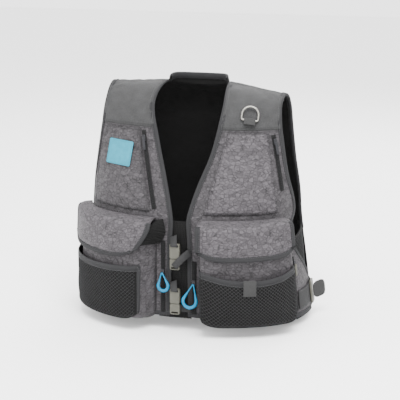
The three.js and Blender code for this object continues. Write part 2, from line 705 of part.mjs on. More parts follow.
// ---- Back pocket and hanging loop ---------------------------------------------------------------
function makeBack() {
  const high = (s, t) => layerGap + bindingThickness + backPocketBulge * crown(s, t);
  add('back_pocket', cloth(straight(around(128, -446), around(128, -262)),
    straight(around(238, -446), around(238, -262)), layerGap, high, 12, 6), ripstop);
  const loop = [];
  const normals = [];
  for (const t of steps(8)) {
    const angle = Math.PI * t;
    const p = place(mix(-hangLoopWidth / 2, hangLoopWidth / 2, t), hangLoopV, true);
    const n = bodyNormal(p.x, p.y);
    loop.push(skin(p.x, p.y, 0.9 + hangLoopRise * Math.sin(angle)));
    normals.push(n);
  }
  add('hanging_loop', strip(loop, normals, hangLoopTape, 0, webbingThickness), webbing);
}

makeBody();
makeBindings();
makeChestPockets();
makeCargoPockets();
makeRing();
makeBadge();
makeClosure('upper', -3, -297, (x, z, front, sewn) => [[25, sewn(z + 24) - 0.23, z + 24],
  [x + 14, front, z + 12], [x, front, z - 4]]);
makeClosure('lower', -3, -388, (x, z, front, sewn) => [[27, sewn(z) - 0.33, z],
  [12, sewn(z) - 0.33, z], [x, sewn(z) - 0.33, z]]);
makeSideStrap(-1);
makeSideStrap(1);
makeBack();
export default vest;
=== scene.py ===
import json
import math

import bmesh
import bpy
import numpy as np
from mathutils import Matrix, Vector


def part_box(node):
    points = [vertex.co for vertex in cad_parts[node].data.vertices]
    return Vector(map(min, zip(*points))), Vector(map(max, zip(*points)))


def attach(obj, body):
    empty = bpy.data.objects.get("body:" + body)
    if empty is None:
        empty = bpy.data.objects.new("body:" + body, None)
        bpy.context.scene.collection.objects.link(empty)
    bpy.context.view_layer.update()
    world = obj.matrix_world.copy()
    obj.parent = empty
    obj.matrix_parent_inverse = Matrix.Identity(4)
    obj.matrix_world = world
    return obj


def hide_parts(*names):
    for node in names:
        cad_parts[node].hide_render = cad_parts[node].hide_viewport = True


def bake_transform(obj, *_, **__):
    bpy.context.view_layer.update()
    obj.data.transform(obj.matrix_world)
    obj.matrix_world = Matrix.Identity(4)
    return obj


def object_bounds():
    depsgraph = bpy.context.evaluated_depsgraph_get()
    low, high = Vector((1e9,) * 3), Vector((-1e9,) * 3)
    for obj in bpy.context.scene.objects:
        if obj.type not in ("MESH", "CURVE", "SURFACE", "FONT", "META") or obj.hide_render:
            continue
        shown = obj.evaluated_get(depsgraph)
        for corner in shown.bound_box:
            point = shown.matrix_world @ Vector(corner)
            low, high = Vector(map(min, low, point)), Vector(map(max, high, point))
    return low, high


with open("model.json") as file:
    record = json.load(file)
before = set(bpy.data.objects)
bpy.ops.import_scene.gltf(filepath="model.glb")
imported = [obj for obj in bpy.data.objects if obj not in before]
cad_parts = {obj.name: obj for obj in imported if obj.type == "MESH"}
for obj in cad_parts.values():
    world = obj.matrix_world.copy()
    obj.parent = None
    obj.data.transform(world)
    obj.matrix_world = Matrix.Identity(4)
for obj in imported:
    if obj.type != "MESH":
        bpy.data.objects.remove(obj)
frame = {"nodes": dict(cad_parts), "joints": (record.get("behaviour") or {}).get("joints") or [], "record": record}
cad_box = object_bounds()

# ---- Camera, floor and light ----------------------------------------------------------------
# A long lens a little above the vest, turned toward its left side. A broad soft light stands high
# in front, with a weak fill on the other side, a light behind and a bright white world.
low, high = (Vector(corner) for corner in cad_box)
camera_target = Vector((0.005, 0.0, (low.z + high.z) / 2 - 0.019))
camera_distance = 2.6
camera_back = Vector((0.2512, -0.937, 0.242)).normalized()
field_width = 0.816
lens = bpy.data.cameras.new("camera")
lens.lens = lens.sensor_width * camera_distance / field_width
camera = bpy.data.objects.new("camera", lens)
camera.location = camera_target + camera_back * camera_distance
camera.rotation_euler = camera_back.to_track_quat("Z", "Y").to_euler()
bpy.context.scene.collection.objects.link(camera)
bpy.context.scene.camera = camera


def soft_light(name, toward, distance, size, power):
    """A square panel light that shines at the vest's middle."""
    panel = bpy.data.lights.new(name, "AREA")
    panel.size = size
    panel.energy = power
    light = bpy.data.objects.new(name, panel)
    way = Vector(toward).normalized()
    light.location = camera_target + way * distance
    light.rotation_euler = way.to_track_quat("Z", "Y").to_euler()
    bpy.context.scene.collection.objects.link(light)


soft_light("key_light", (0.3, -0.72, 1.25), 2.2, 1.3, 125)
soft_light("fill_light", (-1.0, -0.7, 0.25), 2.2, 1.6, 24)
soft_light("back_light", (0.2, 1.0, 0.9), 2.2, 1.6, 55)
world = bpy.data.worlds.new("studio")
world.use_nodes = True
world.node_tree.nodes["Background"].inputs["Color"].default_value = (1.0, 1.0, 1.0, 1.0)
world.node_tree.nodes["Background"].inputs["Strength"].default_value = 3.0
bpy.context.scene.world = world

# ---- Cloth shapes: the front panels ---------------------------------------------------------
# Each front half is a lined ripstop panel from the side seam to the open edge, cut to hang round
# the ribs. It is cut full, so it waves a little between its seams.
MM = 0.001
yoke_seam, flap_seam, hem = -83, -250, -460
shoulder_y, neck_z, drop_right, drop_left = 8, -4, 0.04, 0.16
neck_half, shoulder_half, yoke_reach = 64, 178, 125
ridge = yoke_seam + yoke_reach
squareness = 2.4
shell_thickness, seam_gap, layer_gap, side_gap = 3, 0.8, 0.7, 2.1


def mix(a, b, t):
    return a + (b - a) * t


def between(v, top, middle, bottom):
    upper = mix(middle, top, (v - flap_seam) / (yoke_seam - flap_seam))
    lower = mix(middle, bottom, (v - flap_seam) / (hem - flap_seam))
    return np.where(v > flap_seam, upper, lower)


def half_width(v, left):
    return between(v, 205, 213, np.where(left, 238, 224))


def half_depth(v, back):
    return np.where(back, between(v, 95, 118, 128), between(v, 95, 145, 150))


def tube_point(u, v):
    """The body's surface below the yoke seam: u in radians from the front, v the height."""
    bend = 2 / squareness
    x = half_width(v, np.sin(u) > 0) * np.sign(np.sin(u)) * np.abs(np.sin(u)) ** bend
    y = -half_depth(v, np.cos(u) < 0) * np.sign(np.cos(u)) * np.abs(np.cos(u)) ** bend
    return np.stack([x, y, v + 0 * u], -1)


def body_point(u, v):
    """The body's surface, which rolls over the shoulder above the yoke seam."""
    u, v = np.broadcast_arrays(np.asarray(u, float), np.asarray(v, float))
    start = tube_point(u, np.full_like(v, yoke_seam))
    below = tube_point(u, np.full_like(v, flap_seam))
    lean = (start[..., 1] - below[..., 1]) / (yoke_seam - flap_seam)
    drop = np.where(start[..., 0] < 0, drop_right, drop_left)
    top = neck_z - drop * np.maximum(0, np.abs(start[..., 0]) - neck_half)
    rise = 0.6 * (top - yoke_seam)
    t = (v - yoke_seam) / yoke_reach
    weights = [(1 - t) ** 3, 3 * (1 - t) ** 2 * t, 3 * (1 - t) * t ** 2, t ** 3]
    line_y = [start[..., 1], start[..., 1] + lean * rise, mix(shoulder_y, start[..., 1], 0.5), shoulder_y]
    line_z = [yoke_seam, yoke_seam + rise, top, top]
    y = sum(w * p for w, p in zip(weights, line_y))
    z = sum(w * p for w, p in zip(weights, line_z))
    over = np.stack([start[..., 0], y, z], -1)
    return np.where((v > yoke_seam)[..., None], over, tube_point(u, v))


def unit(vectors):
    return vectors / np.maximum(np.linalg.norm(vectors, axis=-1, keepdims=True), 1e-9)


def body_normal(u, v):
    low_v = np.minimum(v, ridge - 0.6)
    along = body_point(u + 0.004, low_v) - body_point(u - 0.004, low_v)
    up = body_point(u, low_v + 0.5) - body_point(u, low_v - 0.5)
    return unit(np.cross(along, up))


def skin(u, v, out):
    """A point that stands `out` millimetres off the body's surface."""
    return body_point(u, v) + body_normal(u, v) * np.asarray(out)[..., None]


def place(x, v, back=False):
    """The surface position of a place given by its sideways distance and its height."""
    share = min(1.0, abs(x) / float(half_width(min(v, yoke_seam), x > 0)))
    angle = math.asin(share ** (squareness / 2))
    return (math.pi - math.copysign(angle, x), v) if back else (math.copysign(angle, x), v)


def around(degrees, v):
    return math.radians(degrees), v


def edge(*points):
    """A smooth line through places on the body, read at shares of its length."""
    p = np.array(points, float)
    if len(p) > 2:
        q = np.concatenate([p[:1], p, p[-1:]])
        w = np.linspace(0, 1, 80, endpoint=False)[:, None]
        runs = []
        for i in range(len(p) - 1):
            a, b, c, d = q[i:i + 4]
            m, n = (c - a) / 2, (d - b) / 2
            cubic = (2 * b - 2 * c + m + n) * w ** 3 + (3 * c - 3 * b - 2 * m - n) * w ** 2
            runs.append(cubic + m * w + b)
        p = np.concatenate(runs + [p[-1:]])
    length = np.concatenate([[0], np.cumsum(np.linalg.norm(np.diff(p, axis=0), axis=1))])
    length /= length[-1]
    return lambda t: np.stack([np.interp(t, length, p[:, k]) for k in (0, 1)], -1)


def lapped(line, under=0.0, over=0.8):
    """The line with its seam allowances, so that pieces sewn end to end lap at the seam."""
    return lambda t: line(t) + np.stack([0 * t, mix(-under, over, t)], -1)


def shares(length, cell, edges=(0.0, 0.35, 1.0, 2.0)):
    """Shares of a length in even cells, with narrow ones at both ends for a rolled edge."""
    near = np.array(edges) / length
    middle = np.linspace(0, 1, max(3, int(round(length / cell)) + 1))
    inside = middle[(middle > near[-1] * 1.3) & (middle < 1 - near[-1] * 1.3)]
    return np.concatenate([near, inside, 1 - near[::-1]])


def ripple(points, size, seed, waves=16):
    """Soft random unevenness from about -1 to 1, its bumps about `size` millimetres across."""
    draw = np.random.default_rng(seed)
    total = np.zeros(points.shape[:-1])
    for _ in range(waves):
        way = unit(draw.normal(size=3))
        turn = 2 * math.pi / (2 * size * draw.uniform(0.7, 1.6))
        total += np.cos(points @ way * turn + draw.uniform(0, 2 * math.pi))
    return total / math.sqrt(2 * waves)


class Cloth:
    """One piece of cloth as rows and columns of points, with the way each faces."""

    def __init__(self, s, t, points, facing=None):
        self.s, self.t, self.points = s, t, points
        across = np.gradient(points, axis=1)
        up = np.gradient(points, axis=0)
        self.normals = unit(np.cross(across, up))
        if facing is not None and np.sum(self.normals * facing) < 0:
            self.normals = -self.normals
        step_s = np.linalg.norm(np.diff(points, axis=1), axis=-1)
        step_t = np.linalg.norm(np.diff(points, axis=0), axis=-1)
        self.width = step_s.sum(1)
        self.height = step_t.sum(0)
        self.area = float((step_s[:-1] * step_t[:, :-1]).sum())
        middle = len(s) // 2
        start = np.zeros((len(t), 1))
        run = np.concatenate([start, np.cumsum(step_s, axis=1)], axis=1)
        rise = np.concatenate([[0], np.cumsum(step_t[:, middle])])
        self.pattern = np.stack([run - run[:, middle:middle + 1], np.repeat(rise[:, None], len(s), 1)],
                                -1) * MM
        self.to_edge = np.minimum(np.minimum(run, self.width[:, None] - run),
                                  np.minimum(rise, rise[-1] - rise)[:, None])

    def at(self, s, t, lift=0.0):
        """A point on the cloth at shares of its width and height, lifted off it."""
        s, t = np.broadcast_arrays(np.clip(s, 0, 1), np.clip(t, 0, 1))
        col = np.interp(s, self.s, np.arange(len(self.s)))
        row = np.interp(t, self.t, np.arange(len(self.t)))
        i, j = np.minimum(col.astype(int), len(self.s) - 2), np.minimum(row.astype(int), len(self.t) - 2)
        a, b = (col - i)[..., None], (row - j)[..., None]
        found = []
        for grid in (self.points, self.normals):
            found.append(mix(mix(grid[j, i], grid[j, i + 1], a),
                             mix(grid[j + 1, i], grid[j + 1, i + 1], a), b))
        return found[0] + found[1] * lift, found[1]

    def beside(self, side, inset, lift=0.0, first=0.0, last=1.0, count=60):
        """A line of points along one side of the cloth, `inset` millimetres inside it."""
        q = np.linspace(first, last, count)
        if side in ("left", "right"):
            share = inset / np.interp(q, self.t, self.width)
            return self.at(share if side == "left" else 1 - share, q, lift)
        share = inset / np.interp(q, self.s, self.height)
        return self.at(q, share if side == "bottom" else 1 - share, lift)


def shell(name, cloth, thickness, outer_look, inner_look=None, roll=1.5):
    """A closed piece from a cloth's points: its outer face, an inner face and a rolled rim."""
    depth = np.broadcast_to(thickness, cloth.points.shape[:2])
    edge_roll = np.sqrt(np.clip(1 - (1 - np.clip(cloth.to_edge / roll, 0, 1)) ** 2, 0.03, 1))
    sink = depth / 2 * (1 - edge_roll)
    outer = cloth.points - cloth.normals * sink[..., None]
    inner = cloth.points - cloth.normals * (depth - sink)[..., None]
    rows, cols = outer.shape[:2]
    count = rows * cols
    ids = np.arange(count).reshape(rows, cols)
    front = np.stack([ids[:-1, :-1], ids[:-1, 1:], ids[1:, 1:], ids[1:, :-1]], -1).reshape(-1, 4)
    ring = np.concatenate([ids[0, :-1], ids[:-1, -1], ids[-1, :0:-1], ids[:0:-1, 0]])
    ahead = np.roll(ring, -1)
    rim = np.stack([ahead, ring, ring + count, ahead + count], -1)
    faces = np.concatenate([front, front[:, ::-1] + count, rim])
    flat = np.concatenate([outer.reshape(-1, 3), inner.reshape(-1, 3)])
    across, up = outer[rows // 2, cols // 2 + 1] - outer[rows // 2, cols // 2], \
        outer[rows // 2 + 1, cols // 2] - outer[rows // 2, cols // 2]
    if np.dot(np.cross(across, up), cloth.normals[rows // 2, cols // 2]) < 0:
        faces = faces[:, ::-1]
    mesh = bpy.data.meshes.new(name)
    mesh.from_pydata((flat * MM).tolist(), [], faces.tolist())
    layer = mesh.uv_layers.new(name="cloth")
    corners = np.concatenate([cloth.pattern.reshape(-1, 2)] * 2)[faces.reshape(-1)]
    layer.data.foreach_set("uv", corners.astype(np.float32).reshape(-1))
    seam = mesh.attributes.new("to_seam", "FLOAT", "POINT")
    seam.data.foreach_set("value", np.tile(cloth.to_edge.reshape(-1), 2).astype(np.float32))
    mesh.materials.append(outer_look)
    mesh.materials.append(inner_look or outer_look)
    slots = np.zeros(len(faces), np.int32)
    slots[len(front):2 * len(front)] = 1
    mesh.polygons.foreach_set("material_index", slots)
    mesh.polygons.foreach_set("use_smooth", np.ones(len(faces), bool))
    mesh.update()
    piece = bpy.data.objects.new(name, mesh)
    bpy.context.scene.collection.objects.link(piece)
    return piece


def cut_cloth(left, right, out, cell=4.5):
    """Cloth between two lines on the body, standing `out` off it at each share."""
    middle = np.linspace(0, 1, 40)
    rough = body_point(*np.moveaxis(left(middle), -1, 0)), body_point(*np.moveaxis(right(middle), -1, 0))
    width = float(np.linalg.norm(rough[0] - rough[1], axis=-1).mean())
    height = float(np.linalg.norm(np.diff(rough[0], axis=0), axis=-1).sum())
    s, t = shares(width, cell), shares(height, cell)
    S, T = np.meshgrid(s, t)
    at = left(T) * (1 - S)[..., None] + right(T) * S[..., None]
    stand = out(S, T) if callable(out) else np.full(S.shape, float(out))
    facing = body_normal(at[..., 0], at[..., 1])
    return Cloth(s, t, body_point(at[..., 0], at[..., 1]) + facing * stand[..., None], facing)


def waved(cloth, size, depth, seed, grow_in=15):
    """The cloth with soft waves that sink into it by up to `depth`."""
    wave = depth * 0.5 * (ripple(cloth.points, size, seed) - 1) * np.clip(cloth.to_edge / grow_in, 0, 1)
    return Cloth(cloth.s, cloth.t, cloth.points + cloth.normals * wave[..., None], cloth.normals)


sewn_width, most_slide, settle_frames = 2.2, 1.5, 16


def crumple(cloth, fullness, push, reach, seed):
    """Lets cloth that is sewn down round its edges, and cut a little full, buckle as it does."""
    start = cloth.points + cloth.normals * (0.35 * ripple(cloth.points, 16, seed) + 0.3)[..., None]
    rows, cols = start.shape[:2]
    ids = np.arange(rows * cols).reshape(rows, cols)
    quads = np.stack([ids[:-1, :-1], ids[:-1, 1:], ids[1:, 1:], ids[1:, :-1]], -1).reshape(-1, 4)
    mesh = bpy.data.meshes.new("cloth_run")
    mesh.from_pydata((start.reshape(-1, 3) * MM).tolist(), [], quads.tolist())
    body = bpy.data.objects.new("cloth_run", mesh)
    bpy.context.scene.collection.objects.link(body)
    pins = body.vertex_groups.new(name="sewn")
    sewn = cloth.to_edge < sewn_width
    pins.add(ids[sewn].tolist(), 1.0, "REPLACE")
    cloth_run = body.modifiers.new("cloth", "CLOTH")
    cloth_run.settings.vertex_group_mass = "sewn"
    cloth_run.settings.quality = 6
    cloth_run.settings.tension_stiffness = 12
    cloth_run.settings.compression_stiffness = 12
    cloth_run.settings.bending_stiffness = 0.12
    cloth_run.settings.shrink_min = -fullness
    cloth_run.settings.use_pressure = True
    facing = np.cross(start[1, 1] - start[1, 0], start[2, 0] - start[1, 0]) @ cloth.normals[1, 1]
    cloth_run.settings.uniform_pressure_force = push if facing > 0 else -push
    cloth_run.settings.effector_weights.gravity = 0
    cloth_run.point_cache.frame_start, cloth_run.point_cache.frame_end = 1, settle_frames
    for number in range(1, settle_frames + 1):
        bpy.context.scene.frame_set(number)
    settled = body.evaluated_get(bpy.context.evaluated_depsgraph_get()).to_mesh()
    moved = np.zeros(len(settled.vertices) * 3, np.float32)
    settled.vertices.foreach_get("co", moved)
    bpy.data.objects.remove(body)
    bpy.data.meshes.remove(mesh)
    bpy.context.scene.frame_set(1)
    shift = moved.reshape(rows, cols, 3) / MM - cloth.points
    out = np.sum(shift * cloth.normals, axis=-1)
    slide = shift - cloth.normals * out[..., None]
    slide *= np.minimum(1, most_slide / np.maximum(np.linalg.norm(slide, axis=-1, keepdims=True), 1e-6))
    kept = np.clip(out, -0.4, reach)[..., None] * cloth.normals + slide
    kept[sewn] = 0
    return Cloth(cloth.s, cloth.t, cloth.points + kept, cloth.normals)


class Wire:
    """A socket of a material's nodes, and the arithmetic that can be done on it."""

    def __init__(self, tree, socket):
        self.tree, self.socket = tree, socket

    def node(self, kind, settings, inputs, output=0):
        made = self.tree.nodes.new("ShaderNode" + kind)
        for key, value in settings.items():
            setattr(made, key, value)
        for key, value in inputs.items():
            if isinstance(value, Wire):
                self.tree.links.new(value.socket, made.inputs[key])
            else:
                made.inputs[key].default_value = value
        return Wire(self.tree, made.outputs[output])

    def math(self, operation, *values):
        return self.node("Math", {"operation": operation}, dict(enumerate(values)))

    def __add__(self, other):
        return self.math("ADD", self, other)

    def __sub__(self, other):
        return self.math("SUBTRACT", self, other)

    def __rsub__(self, other):
        return self.math("SUBTRACT", other, self)

    def __mul__(self, other):
        return self.math("MULTIPLY", self, other)

    def __truediv__(self, other):
        return self.math("DIVIDE", self, other)

    __radd__, __rmul__ = __add__, __mul__

    def wave(self, pitch):
        """Runs from 0 to 1 and back in every `pitch` metres."""
        return self.math("SINE", self * (2 * math.pi / pitch)) * 0.5 + 0.5

    def mixed(self, a, b):
        """Colour a where this is 0 and colour b where it is 1."""
        colours = [c if isinstance(c, Wire) else (*c, 1.0) for c in (a, b)]
        return self.node("Mix", {"data_type": "RGBA"}, {0: self, 6: colours[0], 7: colours[1]}, 2)

    def noise(self, size, detail=3.0):
        return self.node("TexNoise", {}, {"Vector": self, "Scale": 1 / size, "Detail": detail})

    def axis(self, number):
        return self.node("SeparateXYZ", {}, {"Vector": self}, number)


def start_finish(name, on_cloth=True):
    """A new material and its pattern coordinates in metres."""
    material = bpy.data.materials.new(name)
    material.use_nodes = True
    tree = material.node_tree
    coordinates = Wire(tree, tree.nodes.new("ShaderNodeTexCoord").outputs["UV" if on_cloth else "Object"])
    return material, coordinates


def end_finish(material, colour, rough, height=None, depth=0.0003, metallic=0.0, sheen=0.0,
               gloss=0.15):
    """Joins a finish's colour, roughness and relief to its shader."""
    tree = material.node_tree
    shader = tree.nodes["Principled BSDF"]
    for key, value in (("Base Color", colour), ("Roughness", rough), ("Metallic", metallic)):
        if isinstance(value, Wire):
            tree.links.new(value.socket, shader.inputs[key])
        else:
            shader.inputs[key].default_value = (*value, 1.0) if key == "Base Color" else value
    shader.inputs["Sheen Weight"].default_value = sheen
    shader.inputs["Specular IOR Level"].default_value = gloss
    if height is not None:
        relief = height.node("Bump", {}, {"Height": height, "Distance": depth, "Strength": 0.8})
        tree.links.new(relief.socket, shader.inputs["Normal"])
    return material


def seam_shade(cloth):
    """1 beside a seam, falling to 0 a centimetre inside it: the mask for painted shade in the dip along the seam,
    and for the greying that handling leaves there.
    """
    distance = cloth.node("Attribute", {"attribute_name": "to_seam"}, {}, 2)
    return (1 - distance / 9).math("MAXIMUM", 1 - distance / 9, 0.0)


def ripstop_finish(name, light, dark, line):
    """Nylon ripstop printed with an irregular drystone grid over a fine plain weave."""
    material, cloth = start_finish(name)
    stones = cloth.node("Mapping", {}, {"Vector": cloth, "Scale": (1 / 0.0096, 1 / 0.0062, 1)})
    joint = stones.node("TexVoronoi", {"feature": "DISTANCE_TO_EDGE"},
                        {"Vector": stones, "Scale": 1.0, "Randomness": 0.85})
    stone = stones.node("TexVoronoi", {}, {"Vector": stones, "Scale": 1.0, "Randomness": 0.85}, 1)
    weave = cloth.axis(0).wave(0.0011) * cloth.axis(1).wave(0.0011)
    speck = cloth.noise(0.0034, 3.0)
    gaps = cloth.noise(0.011, 2.0) * 1.9 - 0.45
    drawn = (1 - joint / 0.13).math("MAXIMUM", 1 - joint / 0.13, 0.0) * gaps.math("MAXIMUM", gaps, 0.0)
    tone = cloth.noise(0.028, 3.0) * 0.3 + stone.axis(0) * 0.22 + speck * 0.48
    ground = (tone * 3.2 - 1.15).math("MAXIMUM", tone * 3.2 - 1.15, 0.0).mixed(dark, light)
    ground = (weave * 0.25).mixed(ground, tuple(c * 0.55 for c in light))
    inked = drawn.mixed(ground, line)
    # Painted shade and wear: the cloth is darkened towards the line colour beside its seams, for shade in the
    # seam's dip and for handling wear.
    seam_wear_and_shade = (seam_shade(cloth) * 0.35).mixed(inked, line)
    return end_finish(material, seam_wear_and_shade, 0.62 + drawn * 0.2, weave * 0.4 - drawn, 0.0004, sheen=0.02)


def knit_finish(name, thread, gap, pitch):
    """A black knitted mesh: round eyes in staggered rows between soft ribs, the eyes painted darker as painted
    shade seen through them.
    """
    material, cloth = start_finish(name)
    eyes = cloth.node("Mapping", {}, {"Vector": cloth, "Scale": (1 / pitch, 0.8 / pitch, 1)})
    eye = eyes.node("TexVoronoi", {}, {"Vector": eyes, "Scale": 1.0, "Randomness": 0.15})
    open_eye = (1 - eye * 2.2).math("MAXIMUM", 1 - eye * 2.2, 0.0)
    uneven = cloth.noise(0.02) * 0.5
    # Painted shade: the eyes take the darker gap colour in place of real holes, standing in for the shade seen
    # through them.
    colour = (open_eye * 1.4).mixed(uneven.mixed(thread, tuple(c * 0.5 for c in thread)), gap)
    return end_finish(material, colour, 0.85, 1 - open_eye, 0.0006)


ripstop_light, ripstop_dark, ripstop_line = (0.048, 0.044, 0.048), (0.024, 0.022, 0.024), (0.005, 0.005,
                                                                                           0.005)
ripstop = ripstop_finish("ripstop", ripstop_light, ripstop_dark, ripstop_line)
lining = knit_finish("lining", (0.002, 0.002, 0.002), (0.001, 0.001, 0.001), 0.0022)


def front_edge(side):
    """The open edge, which falls from the neck in a V and then straight to the hem."""
    if side < 0:
        return edge(place(-17, -446), place(-14, -300), place(-13, flap_seam), place(-31, -178),
                    place(-50, -115), place(-59, yoke_seam))
    return edge(place(22, -446), place(20, -300), place(18, flap_seam), place(34, -190),
                place(56, -130), place(66, yoke_seam))


def side_edge(side):
    return edge(around(side * 92, hem), around(side * 92, -385), around(side * 68, -292),
                place(side * 209, -240), place(side * 196, -165), place(side * 183, yoke_seam))


def word_of(side):
    return "right" if side < 0 else "left"


def settle(piece, body, slot, *nodes):
    """Fixes a finished piece to its body and lets it stand for its CAD nodes."""
    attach(piece, body)
    if nodes:
        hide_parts(*nodes)
    return piece


panels = {}
for side in (-1, 1):
    cloth = waved(cut_cloth(lapped(side_edge(side)), lapped(front_edge(side)), 0.0), 34, 0.9, 5 + side)
    panels[side] = cloth
    name = word_of(side) + "_front_panel"
    piece = shell(name + "_cloth", cloth, shell_thickness, ripstop, lining)
    settle(piece, "root", "ripstop", name)
    word_of(side) + "_yoke"

# ---- Yokes, back yoke and collar -------------------------------------------------------------
# The shoulders carry the load, so the yokes are foam faced with a plain heathered weave. They are
# quilted to the lining all round. The collar is the same cloth, folded and bound at its foot.


def heather_finish(name, light, dark, pitch):
    """A plain weave of light and dark yarns mixed together."""
    material, cloth = start_finish(name)
    weave = cloth.axis(0).wave(pitch) * cloth.axis(1).wave(pitch)
    fleck = cloth.noise(0.0022, 2.0) * 0.6 + cloth.noise(0.02, 3.0) * 0.4
    strong = (fleck * 2.6 - 0.8).math("MAXIMUM", fleck * 2.6 - 0.8, 0.0)
    colour = (strong.math("MINIMUM", strong, 1.0)).mixed(dark, light)
    colour = (weave * 0.3).mixed(colour, tuple(c * 0.6 for c in dark))
    # Painted shade and wear: the weave is darkened beside its seams, for shade in the seam's dip and for handling
    # wear.
    seam_wear_and_shade = (seam_shade(cloth) * 0.3).mixed(colour, tuple(c * 0.4 for c in dark))
    return end_finish(material, seam_wear_and_shade, 0.78, weave + fleck * 0.5, 0.0004, sheen=0.03)


yoke_weave = heather_finish("yoke_weave", (0.037, 0.037, 0.038), (0.017, 0.017, 0.017), 0.0013)


def yoke_inner(side):
    return edge(place(-59 if side < 0 else 66, yoke_seam),
                place(side * 71, mix(yoke_seam, ridge, 0.4)), place(side * neck_half, ridge))


def yoke_outer(side):
    return edge(place(side * 183, yoke_seam), place(side * 178, mix(yoke_seam, ridge, 0.5)),
                place(side * shoulder_half, ridge))


yokes = {}
for side in (-1, 1):
    cloth = cut_cloth(lapped(yoke_outer(side), 0.8, 0), lapped(yoke_inner(side), 0.8, 0), 0.0, 4.0)
    cloth = crumple(cloth, 0.012, 2.0, 2.6, 11 + side)
    yokes[side] = cloth
    name = word_of(side) + "_yoke"
    piece = shell(name + "_pad", cloth, shell_thickness, yoke_weave, lining)
    settle(piece, "root", "yoke_cloth", name)


def neck_drop(x):
    inside = np.minimum(1, np.abs(x) / neck_half)
    return 40 * np.sqrt(np.maximum(0, 1 - inside ** 2.6))


def back_yoke_cloth():
    """The back yoke, whose top dips round the back of the neck."""
    s, t = shares(362, 4.5), shares(105, 4.5)
    S, T = np.meshgrid(s, t)
    x = mix(mix(184, shoulder_half, T), -mix(184, shoulder_half, T), S)
    share = np.minimum(1, np.abs(x) / half_width(yoke_seam, x > 0))
    u = math.pi - np.sign(x) * np.arcsin(share ** (squareness / 2))
    v = mix(yoke_seam - 0.8, ridge - neck_drop(x), T)
    return Cloth(s, t, body_point(u, v), body_normal(u, v))


back_yoke = crumple(back_yoke_cloth(), 0.008, 1.0, 1.6, 17)
piece = shell("back_yoke_pad", back_yoke, shell_thickness, yoke_weave, lining)
settle(piece, "root", "yoke_cloth", "back_yoke")

collar_clearance, collar_height, collar_thickness, collar_lean = 1.15, 20, 3, 3
ringed = np.linspace(0.02, 0.98, 70)
up_collar = shares(collar_height, 3.0, (0.0, 0.3, 0.9))
S, T = np.meshgrid(ringed, up_collar)
foot_x = neck_half * np.cos(math.pi * S)
inner_x = foot_x * (neck_half - collar_clearance) / neck_half
share = np.abs(inner_x) / half_width(yoke_seam, inner_x > 0)
foot_u = math.pi - np.sign(inner_x) * np.arcsin(share ** (squareness / 2))
foot = body_point(foot_u, ridge - seam_gap - neck_drop(foot_x) + collar_clearance)
outward = foot.copy()
outward[..., 1] = 1.3 * (foot[..., 1] - shoulder_y)
outward[..., 2] = 0
outward = unit(outward)
rise = collar_height * mix(0.4, 1, np.sin(math.pi * (S - 0.02) / 0.96) ** 0.7)
standing = foot - outward * (collar_lean * T)[..., None] + np.stack([0 * T, 0 * T, T * (rise + 4) - 4], -1)
collar = Cloth((ringed - 0.02) / 0.96, up_collar, standing, outward)
piece = shell("collar_band", collar, collar_thickness, yoke_weave, lining)
settle(piece, "root", "yoke_cloth", "collar")

# ---- Back panel, side panels and placket -----------------------------------------------------
# The back is one ripstop panel between the armholes. Knitted mesh closes the sides under the arms
# and backs the front opening, where it is gathered into upright pleats.
knit = knit_finish("knit_mesh", (0.004, 0.004, 0.004), (0.001, 0.001, 0.001), 0.0034)


def back_edge(side):
    def turned(p):
        return p if side > 0 else (2 * math.pi - p[0], p[1])
    return edge(turned(around(100, hem)), turned(around(101, -360)), turned(around(107, -285)),
                turned(place(206, -230, True)), turned(place(193, -160, True)),
                turned(place(184, yoke_seam, True)))


back = waved(cut_cloth(lapped(back_edge(1)), lapped(back_edge(-1)), 0.0, 5.0), 40, 1.6, 21)
piece = shell("back_panel_cloth", back, shell_thickness, ripstop, lining)
settle(piece, "root", "ripstop", "back_panel")

side_panel_bottom = -464
side_panels = {}
for side in (-1, 1):
    cloth = cut_cloth(edge(around(side * 70, side_panel_bottom), around(side * 70, -302)),
                      edge(around(side * 112, side_panel_bottom), around(side * 112, -288)),
                      -shell_thickness - side_gap, 4.0)
    cloth = waved(cloth, 26, 1.2, 25 + side)
    side_panels[side] = cloth
    name = word_of(side) + "_side_panel"
    piece = shell(name + "_knit", cloth, shell_thickness, knit, lining)
    settle(piece, "root", "stretch_mesh", name)
    word_of(side) + "_front_panel"

placket_out, pleat = -shell_thickness - 0.9, 6.5


def pleated(s, t):
    depth = 1.3 * (1 - t * 0.3) * (np.cos(s * 66 / pleat * 2 * math.pi + 1.2 * np.sin(t * 5)) - 1) / 2
    return placket_out + depth


placket = cut_cloth(edge(place(-40, -452), place(-36, -256)), edge(place(27, -452), place(24, -256)),
                    pleated, 1.5)
piece = shell("front_placket_knit", placket, 1.7, knit, lining)
settle(piece, "root", "stretch_mesh", "front_placket")

# ---- Chest pockets -----------------------------------------------------------------------------
# A patch of ripstop is sewn flat round its edge and stands full in the middle. The badge is sewn
# to the right pocket and presses the cloth behind it flat.
pocket_edge, pocket_bulge, pocket_fill = 2.3, 6.4, 2.0
badge_low, badge_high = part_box("chest_badge")
badge_middle = np.array((badge_low + badge_high) / 2) / MM


